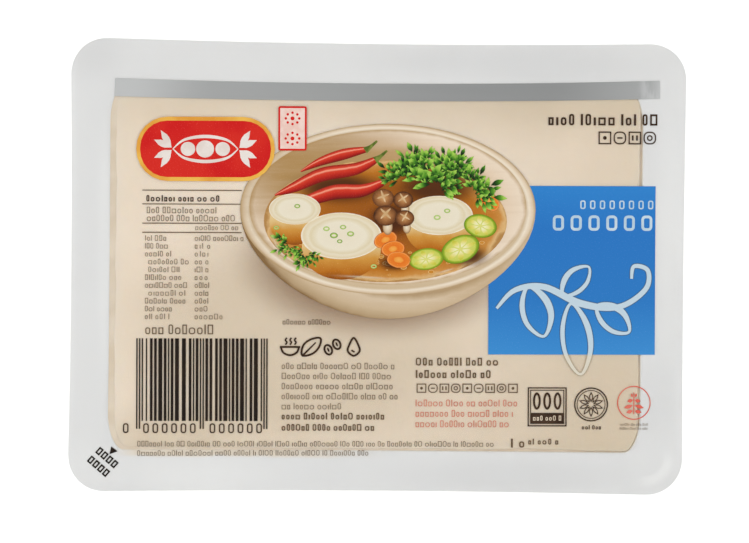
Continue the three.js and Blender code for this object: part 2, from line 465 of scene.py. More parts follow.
class Graph:
    """A material's nodes."""

    def __init__(self, name: str) -> None:
        """Starts an empty material.

        Args:
            name: its name.
        """
        self.material = bpy.data.materials.new(name)
        self.material.use_nodes = True
        self.tree = self.material.node_tree
        self.tree.nodes.clear()
        self._place: Node | None = None

    def node(self, kind: str, settings: dict | None = None, inputs: dict | None = None) -> Node:
        """Adds a node.

        Args:
            kind: the node's type, without its ShaderNode prefix.
            settings: its properties, and a colour ramp's stops as (place, colour) pairs.
            inputs: values, or what they are linked from, by the socket's name or number.

        Returns:
            the node.
        """
        made = self.tree.nodes.new(f"ShaderNode{kind}")
        settings = dict(settings or {})
        stops = settings.pop("stops", ())
        for name, value in settings.items():
            setattr(made, name, value)
        for number, (place, colour) in enumerate(stops):
            ramp = made.color_ramp.elements
            stop = ramp[number] if number < 2 else ramp.new(place)
            stop.position, stop.color = place, colour
        for name, value in (inputs or {}).items():
            self.feed(made.inputs[name], value)
        return made

    def feed(self, socket: Socket, value: object) -> None:
        """Sets an input socket, or links it.

        Args:
            socket: the input.
            value: a setting, or the output to link it from.
        """
        if isinstance(value, Value):
            value = value.socket
        if isinstance(value, Socket):
            self.tree.links.new(value, socket)
        else:
            socket.default_value = value

    @property
    def place(self) -> Socket:
        """The surface point in the pack's own frame.

        Returns:
            the socket that gives it.
        """
        if self._place is None:
            self._place = self.node("TexCoord")
        return self._place.outputs["Object"]

    def axis(self, name: str) -> Value:
        """The surface point's X, Y or Z, in metres."""
        split = self.node("SeparateXYZ", inputs={"Vector": self.place})
        return Value(self, split.outputs[name])

    def noise(self, size: float, detail: float = 2.0, stretch: Knot = (1, 1, 1)) -> Value:
        """Soft random blotches.

        Args:
            size: a blotch's size.
            detail: how much finer noise is laid on it.
            stretch: how many times longer the blotches are along each axis.

        Returns:
            the blotches, from 0 to 1.
        """
        scale = tuple(1 / s for s in stretch)
        mapped = self.node("Mapping", inputs={"Vector": self.place, "Scale": scale})
        inputs = {"Vector": mapped.outputs[0], "Scale": 1 / size, "Detail": detail}
        return Value(self, self.node("TexNoise", inputs=inputs).outputs[0])

    def mix(self, factor: Number, first: object, second: object) -> Socket:
        """One colour at factor 0 and another at factor 1."""
        settings = {"data_type": "RGBA", "clamp_factor": True}
        return self.node("Mix", settings, {0: factor, 6: first, 7: second}).outputs[2]

    def ramp(self, factor: Value, *stops: tuple[float, Colour]) -> Socket:
        """A colour that runs through stops as a number runs from 0 to 1."""
        return self.node("ValToRGB", {"stops": stops}, {"Fac": factor}).outputs["Color"]

    def oval(self, at_mm: Point, size_mm: Point) -> Value:
        """The distance from an oval's middle, which is 1 at its rim."""
        places = [(self.axis(a) - at * MM) / (side * MM / 2) for a, at, side in zip("XY", at_mm, size_mm)]
        return distance_out(*places)

    def local(self) -> tuple[Value, Value]:
        """The place within a printed shape, from -1 to 1 from its left and from its lower side."""
        split = self.node("SeparateXYZ", inputs={"Vector": self.node("UVMap").outputs["UV"]})
        return Value(self, split.outputs["X"]) * 2 - 1, Value(self, split.outputs["Y"]) * 2 - 1

    def island(self) -> Value:
        """A number from 0 to 1 that is each shape's own."""
        return Value(self, self.node("NewGeometry").outputs["Random Per Island"])

    def upward(self) -> Value:
        """How squarely the surface looks up: 1 where it is level and 0 where it is upright."""
        normal = self.node("NewGeometry").outputs["Normal"]
        return Value(self, self.node("SeparateXYZ", inputs={"Vector": normal}).outputs["Z"])

    def bump(self, height: Value, distance: float, strength: float = 1.0) -> Socket:
        """The normal of a surface with a fine relief."""
        inputs = {"Height": height, "Distance": distance, "Strength": strength}
        return self.node("Bump", inputs=inputs).outputs["Normal"]

    def blend(self, factor: Value, first: Socket, second: Socket) -> Socket:
        """One shader at factor 0 and another at factor 1."""
        return self.node("MixShader", inputs={0: factor, 1: first, 2: second}).outputs[0]

    def surface(self, **sockets: object) -> Socket:
        """A principled shader, by its sockets' values or links, with _ for a space in a name."""
        inputs = {name.replace("_", " "): value for name, value in sockets.items()}
        return self.node("BsdfPrincipled", inputs=inputs).outputs[0]

    def finish(self, shader: Socket) -> Material:
        """Puts a shader on the surface, which finishes the material."""
        self.node("OutputMaterial", inputs={"Surface": shader})
        return self.material

    def principled(self, **sockets: object) -> Material:
        """Makes the material one principled shader, given as for surface."""
        return self.finish(self.surface(**sockets))


@dataclass(frozen=True)
class TubPlastic:
    """Milky plastic, a little see-through, that takes the tofu's colour where tofu backs it."""

    name: str = "milky plastic"
    # painted light and shade: milk is the plastic's lit colour and shade its shaded copy
    milk: Colour = srgb(241, 241, 239)
    shade: Colour = srgb(224, 224, 223)
    # painted shade on the flange's rolled outer edge
    edge: Colour = srgb(196, 198, 196)
    backed: Colour = srgb(240, 230, 212)
    seep: Colour = srgb(232, 218, 196)
    body: Point = (65.2 * MM, 44.9 * MM)  # how far out from the middle tofu stands behind the plastic
    backed_below: float = 30.42 * MM
    fade: float = 0.5 * MM
    corner_at: Point = (65.0 * MM, -45.5 * MM)  # painted highlight where a flange corner is bent up a little
    # painted light: how pale the plastic is where no pool changes it
    painted_light_base: float = 0.42
    painted_light_pools: tuple[tuple[float, ...], ...] = (
        (34.0, 49.5, 96.0, 14.0, -0.42), (-2.0, 49.5, 60.0, 12.0, -0.1), (-70.0, 51.0, 26.0, 18.0, -0.35),
        (34.0, -50.0, 84.0, 13.0, -0.36), (-44.0, -50.5, 60.0, 13.0, 0.24),
        (-69.0, -48.0, 18.0, 18.0, 0.22), (-65.6, 4.0, 5.0, 90.0, 0.3), (70.5, 12.0, 9.0, 80.0, 0.28),
        (68.0, -31.0, 13.0, 26.0, -0.22),
    )  # painted light and shade where more or less light falls, paler or duller: X, Y, length and width in mm, and by how much

    def material(self) -> Material:
        """The material of the tub, with painted light and shade in its colour.

        Returns:
            the material.
        """
        graph = Graph(self.name)
        across, along, height = graph.axis("X"), graph.axis("Y"), graph.axis("Z")
        # painted sheen and shade: soft patches and fine streaks where the sealed film catches the light
        # unevenly
        sheen_patches = graph.noise(30 * MM, 1) * 0.75 + graph.noise(2.2 * MM, 2, (1, 5, 1)) * 0.25
        # painted light and shade: 0 gives the shaded colour and 1 the lit one
        level = self.painted_light(graph) + self.bent(across, along) * 0.5 + (sheen_patches - 0.5) * 0.6
        milk = graph.mix(level, self.shade, self.milk)
        inside = self.within(across, self.body[0]) * self.within(along, self.body[1])
        wall = height.between(self.backed_below, self.backed_below - self.fade)
        backed = graph.mix(inside * wall * 0.9, milk, self.backed)
        tone = graph.mix(self.seeped(graph, across, along), backed, self.seep)
        # painted shade where the flange's outer edge rolls down
        painted_edge_shade = graph.upward().between(0.98, 0.55) * height.between(29.6 * MM, 29.8 * MM)
        grain = graph.noise(0.45 * MM, 3)
        return graph.principled(
            Base_Color=graph.mix(painted_edge_shade * (1 - inside) * 0.8, tone, self.edge),
            Roughness=0.34 + grain * 0.12,
            Subsurface_Weight=0.12,
            Subsurface_Radius=(1.0, 0.9, 0.8),
            Subsurface_Scale=2.5 * MM,
            IOR=1.49,
            Normal=graph.bump(grain, 0.03 * MM),
        )

    def within(self, place: Value, reach: float) -> Value:
        """1 where a coordinate is nearer to the middle than a reach, and 0 past it."""
        return place * place < reach**2

    def painted_light(self, graph: Graph) -> Value:
        """How pale the painted light and shade make the plastic, from place to place.

        Args:
            graph: the material's nodes.

        Returns:
            its paleness, from 0 to 1.
        """
        level: Number = self.painted_light_base
        for x, y, length, width, much in self.painted_light_pools:
            level = graph.oval((x, y), (length, width)).between(1.0, 0.2) * much + level
        return level

    def bent(self, across: Value, along: Value) -> Value:
        """Where the painted highlight along the crease of the bent corner is.

        Args:
            across: the place along X.
            along: the place along Y.

        Returns:
            1 along the crease and 0 elsewhere.
        """
        x, y = across - self.corner_at[0], along - self.corner_at[1]
        out = distance_out(x, y)
        # painted highlight: a pale ring along the crease of the bent corner
        ring = out.between(3.8 * MM, 5.0 * MM) * out.between(7.5 * MM, 5.6 * MM)
        return ring * x.between(-3 * MM, 2 * MM) * y.between(3 * MM, -2 * MM)

    def seeped(self, graph: Graph, across: Value, along: Value) -> Value:
        """Where whey has crept a little way out between the flange and the film, near the left.

        Args:
            graph: the material's nodes.
            across: the place along X.
            along: the place along Y.

        Returns:
            1 where it is and 0 elsewhere.
        """
        edge = along + graph.noise(9 * MM, 2) * 1.6 * MM
        near = edge.between(-45.6 * MM, -44.4 * MM) * along.between(-43.2 * MM, -43.8 * MM)
        return near * across.between(-64 * MM, -56 * MM) * across.between(6 * MM, -26 * MM) * 0.8


@dataclass(frozen=True)
class Curd:
    """Set bean curd: smooth, wet and cream-coloured, with light soaking in."""

    name: str = "bean curd"
    # pale is the lit colour and deep the colour that the painted shade runs to
    pale: Colour = srgb(250, 234, 214)
    deep: Colour = srgb(218, 201, 174)

    def material(self) -> Material:
        """The block's material, with painted shade: palest at the left, deepest about the middle.

        Returns:
            the material.
        """
        graph = Graph(self.name)
        across, along = graph.axis("X") / MM, graph.axis("Y") / MM
        # painted shade: darker about the middle, along the far and right sides and towards the near corners
        middle_shade = graph.oval((-18, -16), (96, 74)).between(1.0, 0.45) * 0.56
        sides = along.between(27, 42) * 0.4 + across.between(0, 55) * 0.34
        corners = across.between(-10, 50) * along.between(10, -40) * 0.24
        corners = graph.oval((-50, -42), (50, 24)).between(1.0, 0.2) * 0.42 + corners
        clouds = (graph.noise(34 * MM, 2) - 0.5) * 0.6 + (graph.noise(5 * MM, 3) - 0.5) * 0.18
        pits = graph.noise(1.1 * MM, 3)
        # the painted shade, with the curd's own random clouds on it
        depth = middle_shade + sides + corners + clouds + 0.18
        return graph.principled(
            Base_Color=graph.mix(depth, self.pale, self.deep),
            Roughness=0.3 + pits * 0.15,
            Subsurface_Weight=0.2,
            Subsurface_Radius=(1.0, 0.7, 0.4),
            Subsurface_Scale=4 * MM,
            Normal=graph.bump(pits, 0.08 * MM),
        )


@dataclass(frozen=True)
class Whey:
    """The little cloudy water that stands between the block and the tub."""

    name: str = "whey"
    colour: Colour = srgb(248, 230, 206)
    deep: Colour = srgb(236, 216, 190)

    def material(self) -> Material:
        """The material of the whey.

        Returns:
            the material.
        """
        graph = Graph(self.name)
        clouds = graph.noise(6 * MM, 3)
        return graph.principled(
            Base_Color=graph.mix(clouds.between(0.3, 0.7), self.colour, self.deep),
            Roughness=0.12 + clouds * 0.1,
            Subsurface_Weight=0.3,
            Subsurface_Radius=(1.0, 0.8, 0.5),
            Subsurface_Scale=3 * MM,
        )


@dataclass(frozen=True)
class ClearFilm:
    """Clear lidding film: its gloss shows, and the soft tone printed round the pictured dish."""

    name: str = "clear film"
    gloss: Colour = (1.0, 1.0, 1.0, 1.0)
    roughness: float = 0.12
    tone: Colour = srgb(142, 96, 50)
    tone_at_mm: Point = (0.4, 1.6)
    tone_size_mm: Point = (76.0, 42.0)
    strength: float = 0.5

    def material(self) -> Material:
        """The material of the film.

        Returns:
            the material.
        """
        graph = Graph(self.name)
        drawn = graph.noise(9 * MM, 2, (3, 1, 1))
        normal = graph.bump(drawn, 0.25 * MM, 0.35)
        gloss = graph.surface(Base_Color=self.gloss, Roughness=self.roughness, Normal=normal)
        clear = graph.node("BsdfTransparent").outputs[0]
        facing = Value(graph, graph.node("LayerWeight", inputs={"Blend": 0.3}).outputs["Fresnel"])
        film = graph.blend(facing * 0.3, clear, gloss)
        ink = graph.surface(Base_Color=self.tone, Roughness=0.3)
        once = 1 - Value(graph, graph.node("NewGeometry").outputs["Backfacing"])
        fade = graph.oval(self.tone_at_mm, self.tone_size_mm).between(1.0, 0.5)
        return graph.finish(graph.blend(fade * once * self.strength, film, ink))


@dataclass(frozen=True)
class Ink:
    """Print under gloss: one colour that wanders a little towards another."""

    name: str = "ink"
    colour: Colour = srgb(128, 128, 128)
    other: Colour = srgb(128, 128, 128)
    patch: float = 6 * MM
    contrast: float = 0.15  # half the width of the step between the two colours
    roughness: float = 0.22

    def tone(self, graph: Graph) -> Socket:
        """The ink's colour over the surface."""
        step = graph.noise(self.patch, 3).between(0.5 - self.contrast, 0.5 + self.contrast)
        return graph.mix(step, self.colour, self.other)

    def material(self) -> Material:
        """The material of a field of this ink.

        Returns:
            the material.
        """
        graph = Graph(self.name)
        screen = graph.noise(0.3 * MM, 1)
        return graph.principled(
            Base_Color=self.tone(graph),
            Roughness=self.roughness + screen * 0.08,
            Normal=graph.bump(screen, 0.005 * MM),
        )


@dataclass(frozen=True)
class BandInk(Ink):
    """Silver print with a painted reflection: darkest right of its middle, streaked where it runs out."""

    name: str = "silver ink"
    colour: Colour = srgb(143, 144, 143)
    roughness: float = 0.3
    # painted reflection: the paler colour that the band takes towards both ends
    ends: Colour = srgb(196, 197, 196)

    def tone(self, graph: Graph) -> Socket:
        """The ink's colour, which a painted reflection darkens away from both ends.

        Args:
            graph: the material's nodes.

        Returns:
            the colour.
        """
        along = graph.axis("X") / MM
        # painted reflection: darkest right of the middle and paler towards both ends
        reflection_from_left = along.between(-63, -38) * 0.62 + along.between(-45, 40) * 0.36
        reflection_from_right = along.between(68.5, 64.5) * 0.62 + along.between(66, 40) * 0.38
        streaks = graph.noise(3 * MM, 2, (12, 1, 1)) * 0.1
        rubs = graph.noise(1.3 * MM, 2, (1, 5, 1)).between(0.35, 0.65) * along.between(61.5, 64) * 0.45
        return graph.mix(reflection_from_left * reflection_from_right - streaks - rubs, self.ends, self.colour)


@dataclass(frozen=True)
class OvalInk(Ink):
    """Print that runs through colours from an oval's middle to its rim."""

    at_mm: Point = (0.0, 0.0)
    size_mm: Point = (10.0, 10.0)
    stops: Stops = ()
    speckle: float = 0.06

    def tone(self, graph: Graph) -> Socket:
        """The ink's colour by its distance from the middle."""
        ruffle = (graph.noise(self.patch, 3) - 0.5) * self.speckle
        return graph.ramp(graph.oval(self.at_mm, self.size_mm) + ruffle, *self.stops)


@dataclass(frozen=True)
class ClayInk(OvalInk):
    """Pictured clay: streaked as it was thrown, and browner towards one side."""

    brown: Colour = srgb(190, 158, 112)
    brown_at_mm: Point = (-24.0, 24.0)
    brown_size_mm: Point = (64.0, 44.0)
    depth: float = 0.6

    def tone(self, graph: Graph) -> Socket:
        """The clay's colour.

        Args:
            graph: the material's nodes.

        Returns:
            the colour.
        """
        streaks = graph.noise(1.3 * MM, 3, (14, 1, 1)) - 0.5
        side = graph.oval(self.brown_at_mm, self.brown_size_mm).between(1.0, 0.1)
        return graph.mix(side * self.depth + streaks * 0.4, super().tone(graph), self.brown)


class Spread(Enum):
    """How a printed colour runs over each shape."""

    OUTWARDS = "from its middle to its rim"
    ALONG = "from its left end to its right"
    ACROSS = "from its lower side to its upper"


@dataclass(frozen=True)
class ShapeInk(Ink):
    """Print that runs through colours over each shape, with each shape a little different."""

    stops: Stops = ()
    spread: Spread = Spread.OUTWARDS
    vary: float = 0.0
    speckle: float = 0.1

    def tone(self, graph: Graph) -> Socket:
        """The ink's colour by the place within the shape.

        Args:
            graph: the material's nodes.

        Returns:
            the colour.
        """
        across, along = graph.local()
        if self.spread is Spread.OUTWARDS:
            reach = distance_out(across, along)
        else:
            reach = (across if self.spread is Spread.ALONG else along) * 0.5 + 0.5
        ruffle = (graph.noise(self.patch, 3) - 0.5) * self.speckle
        own = (graph.island() - 0.5) * self.vary
        return graph.ramp(reach + ruffle + own, *self.stops)


@dataclass(frozen=True)
class SoftTone:
    """A see-through tone that fades from each shape's middle to nothing at its rim."""

    name: str
    colour: Colour
    strength: float = 0.5
    core: float = 0.2

    def material(self) -> Material:
        """The material of the tone.

        Returns:
            the material.
        """
        graph = Graph(self.name)
        fade = distance_out(*graph.local()).between(1.0, self.core)
        cover = fade * fade * self.strength
        grain = graph.noise(4 * MM, 2)
        deeper = (*(0.85 * c for c in self.colour[:3]), 1.0)
        tone = graph.mix(grain.between(0.3, 0.7), self.colour, deeper)
        flat = graph.surface(Base_Color=tone, Roughness=0.3)
        return graph.finish(graph.blend(cover, graph.node("BsdfTransparent").outputs[0], flat))


# ---- The tub, the block and the film


def make_piece(
    piece: Piece, finish: object, slot: str, replaces: Iterable[str] = (), angle: float = 35
) -> None:
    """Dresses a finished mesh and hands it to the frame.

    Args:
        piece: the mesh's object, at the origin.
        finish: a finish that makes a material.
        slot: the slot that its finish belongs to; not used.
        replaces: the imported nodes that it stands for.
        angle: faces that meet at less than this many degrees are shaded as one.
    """
    with alone(piece):
        bpy.ops.object.shade_smooth_by_angle(angle=math.radians(angle))
    piece.data.materials.clear()
    piece.data.materials.append(finish.material())
    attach(piece, "root")
    if replaces:
        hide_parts(*replaces)
    log.info("%s: %d faces", piece.name, len(piece.data.polygons))


@dataclass
class Tub:
    """The tub: a wide flange round a mouth, leaning walls and a floor with a raised middle."""

    sizes: PackSizes
    warp: Warp
    mouth: Point = (128 * MM, 87.4 * MM)
    mouth_corner: float = 9 * MM
    squeeze: float = 0.44
    at: Vector = field(default_factory=lambda: Vector((-0.4 * MM, -0.5 * MM, 0)))
    wall: float = 0.8 * MM
    lean: float = 3.1 * MM  # how far each wall has leant in by the floor
    lip: float = 0.5 * MM
    heel: float = 4 * MM
    panel_inset: float = 12 * MM
    panel_rise: float = 0.8 * MM
    panel_round: float = 0.35 * MM
    edge_round: float = 0.14 * MM
    flange_depth: float = 3 * MM  # how far down the tub shares the film's dents
    cuts: int = 35  # in each straight side of the flange and of the mouth

    def build(self) -> Piece:
        """Models the tub's inner face and gives it the plastic's thickness.

        Returns:
            the tub.
        """
        work = Workpiece("tub")
        rim = Vector((0, 0, self.sizes.rim))
        work.rectangle((self.sizes.length, self.sizes.width), rim, self.sizes.corner)
        work.open_and_divide(self.cuts)
        work.rectangle(self.mouth, self.at + rim, self.mouth_corner, squeeze=self.squeeze)
        work.open_and_divide(self.cuts)
        work.select_all()
        bpy.ops.mesh.select_mode(type="EDGE")
        bpy.ops.mesh.bridge_edge_loops(number_cuts=3, interpolation="LINEAR", smoothness=0)
        self.draw_walls(work)
        self.round_floor(work)
        work.face_up()
        piece = work.done()
        apply_modifier(piece, "SOLIDIFY", thickness=self.wall, offset=-1, use_even_offset=True)
        bpy.ops.object.mode_set(mode="EDIT")
        work.round_off(lambda e: self.reach(e) < MM and bends(e, self.sizes.rim), self.lip, 5)
        work.done()
        sharp = {"limit_method": "ANGLE", "angle_limit": math.radians(60)}
        apply_modifier(piece, "BEVEL", width=self.edge_round, segments=2, **sharp)
        self.warp.bend(piece)
        flange = piece.vertex_groups.new(name="flange")
        high = [v.index for v in piece.data.vertices if v.co.z > self.sizes.rim - self.flange_depth]
        flange.add(high, 1.0, "REPLACE")
        self.warp.dent(piece, "flange")
        return piece

    def reach(self, edge: Edge) -> float:
        """How far an edge stands out past the mouth's outline, and below 0 inside it."""
        return past(middle(edge) - self.at, self.mouth)

    def draw_walls(self, work: Workpiece) -> None:
        """Extrudes the mouth's outline down the walls and across the floor.

        Args:
            work: the flange, open at the mouth.
        """
        floor = self.wall
        about = self.at + Vector((0, 0, floor))
        work.select(Kind.EDGE, lambda e: e.is_boundary and self.reach(e) < MM)
        work.push_edges(self.sizes.rim - floor, self.mouth, self.lean, about)
        base = tuple(side - 2 * self.lean for side in self.mouth)
        work.push_edges(0, base, self.panel_inset, about)
        foot = tuple(side - 2 * self.panel_inset for side in base)
        work.push_edges(-self.panel_rise, foot, self.panel_rise, about)
        bpy.ops.mesh.edge_face_add()

    def round_floor(self, work: Workpiece) -> None:
        """Rounds the heel and the raised middle's edges, and divides that middle into a fan.

        Args:
            work: the tub's inner face.
        """
        floor, inset = self.wall, self.lean + self.panel_inset
        for height, by, size, steps in (
            (floor, self.lean, self.heel, 8),
            (floor, inset, self.panel_round, 3),
            (floor + self.panel_rise, inset + self.panel_rise, self.panel_round, 3),
        ):

            def in_loop(edge: Edge, height: float = height, by: float = by) -> bool:
                """Whether an edge is on the loop at a height, about that far in from the mouth."""
                return bends(edge, height) and abs(self.reach(edge) + by) < self.heel + 0.5 * MM

            work.round_off(in_loop, size, steps)
        work.select(Kind.FACE, lambda f: len(f.verts) > 12)
        bpy.ops.mesh.poke()


@dataclass
class Block:
    """The block of tofu, which has set in the tub and fills it up to the film."""

    sizes: PackSizes
    warp: Warp
    tub: Tub
    gap_left: float = 1.1 * MM
    gap_right: float = 0.32 * MM
    gap_back: float = 0.4 * MM
    gap_front: float = 0.35 * MM
    floor_gap: float = 0.25 * MM
    film_gap: float = 0.05 * MM  # from the rim's height down to its top
    corner: float = 8 * MM
    squeeze: float = 0.4
    rim_round: float = 0.5 * MM
    wander: float = 1.0 * MM  # how far the rim strays
    rim_band: float = 1.5 * MM  # how far in from its outline it does so
    grain_size: float = 6 * MM
    grid: float = 4 * MM
    cuts: tuple[float, ...] = (0.12, 0.3, 0.55, 0.8)  # where the sides are divided, from the top down

    def build(self) -> Piece:
        """Models the block from its top face down.

        Returns:
            the block.
        """
        work = Workpiece("tofu_block")
        top = self.sizes.rim - self.film_gap
        depth = top - self.tub.wall - self.floor_gap
        size = (
            self.tub.mouth[0] - self.gap_left - self.gap_right,
            self.tub.mouth[1] - self.gap_back - self.gap_front,
        )
        shift = Vector((self.gap_left - self.gap_right, self.gap_front - self.gap_back, 0)) / 2
        at = self.tub.at + shift + Vector((0, 0, top))
        work.rectangle(size, at, self.corner, 10, self.squeeze)
        work.cut_grid(self.grid)
        work.select(Kind.FACE, lambda f: True)
        bpy.ops.mesh.extrude_region_move(TRANSFORM_OT_translate={"value": (0, 0, -depth)})
        shares = [(side - 2 * self.tub.lean) / side for side in size]
        bpy.ops.transform.resize(value=(shares[0], shares[1], 1), center_override=at)
        for part in self.cuts:
            work.select_all()
            bpy.ops.mesh.bisect(plane_co=(0, 0, top - part * depth), plane_no=(0, 0, 1))
        for height, round_by, steps in ((top, self.rim_round, 4), (top - depth, self.tub.heel - MM, 6)):
            work.round_off(lambda e, height=height: bends(e, height, 40), round_by, steps)
        work.face_up()
        piece = work.done()
        rim = piece.vertex_groups.new(name="rim")
        near = [v for v in piece.data.vertices if v.co.z > top - self.rim_round - 0.2 * MM]
        edge = [v.index for v in near if past(v.co - at, size) > -self.rim_band]
        rim.add(edge, 1.0, "REPLACE")
        grain = bpy.data.textures.new("rim grain", "CLOUDS")
        grain.noise_scale = self.grain_size
        for way in ("X", "Y"):
            displace(piece, grain, way, self.wander, 0.5, "rim")
        self.warp.bend(piece)
        self.warp.dent(piece)
        return piece


@dataclass
class Water:
    """The whey round the block, which stands a little higher on the left."""

    sizes: PackSizes
    warp: Warp
    tub: Tub
    reach: float = 0.6 * MM  # how far it goes in under the lip
    width: float = 2.6 * MM
    depth: float = 0.8 * MM
    below_rim: float = 0.42 * MM
    tilt: float = 0.26  # degrees, which brings it up to the film on the left
    grid: float = 4 * MM

    def build(self) -> Piece:
        """Models the whey as a flat ring, whose inner edge is inside the block.

        Returns:
            the ring.
        """
        work = Workpiece("whey")
        at = self.tub.at + Vector((0, 0, self.sizes.rim - self.below_rim))
        size = tuple(side + 2 * self.reach for side in self.tub.mouth)
        work.rectangle(size, at, self.tub.mouth_corner + self.reach, squeeze=self.tub.squeeze)
        work.hollow(self.width)
        work.cut_grid(self.grid)
        work.all_up()
        work.select_all()
        bpy.ops.transform.rotate(value=-math.radians(self.tilt), orient_axis="Y", center_override=at)
        return self.warp.lay(work.done(), self.depth)


@dataclass
class Lid:
    """The clear film, cut flush with the flange."""

    sizes: PackSizes
    warp: Warp
    grid: float = 4 * MM

    def build(self) -> Piece:
        """Models the film as one thin closed sheet.

        Returns:
            the film.
        """
        work = Workpiece("lid_film")
        top = Vector((0, 0, self.sizes.film_top))
        work.rectangle((self.sizes.length, self.sizes.width), top, self.sizes.corner)
        work.cut_grid(self.grid)
        work.face_up()
        return self.warp.lay(work.done(), self.sizes.film)


# ---- The print


class Level(IntEnum):
    """How many steps of ink a shape stands on. A deep stack of shapes takes up two."""

    GROUND = 1
    FIELD = 3
    WALL = 4
    RIM = 5
    INSIDE = 6
    BROTH = 7
    SHADE = 8
    POD = 9
    SIDE = 10
    FACE = 11
    SLICE = 12
    SEGMENT = 13
    STEM = 15
    CAP = 16
    CUT = 17
    GREEN = 18
    GLINT = 20
    EDGE = 21
    BADGE = 22
    MARK = 23


def smooth_path(points: list[Knot], steps: int, closed: bool = False) -> list[Vector]:
    """A curve through points, each a place with a width as its third number.

    Args:
        points: what it runs through.
        steps: how many pieces each stretch is divided into.
        closed: whether it returns to its start.

    Returns:
        the places along it.
    """
    knots = [Vector(p) for p in points]
    ends = [knots[-1]] + knots + knots[:2] if closed else [knots[0]] + knots + [knots[-1]]
    path = []
    for p0, p1, p2, p3 in zip(ends, ends[1:], ends[2:], ends[3:]):
        for step in range(steps):
            t = step / steps
            rise = (p2 - p0) * t + (2 * p0 - 5 * p1 + 4 * p2 - p3) * t**2
            path.append(p1 + 0.5 * (rise + (3 * p1 - p0 - 3 * p2 + p3) * t**3))
    return path + [path[0] if closed else knots[-1]]


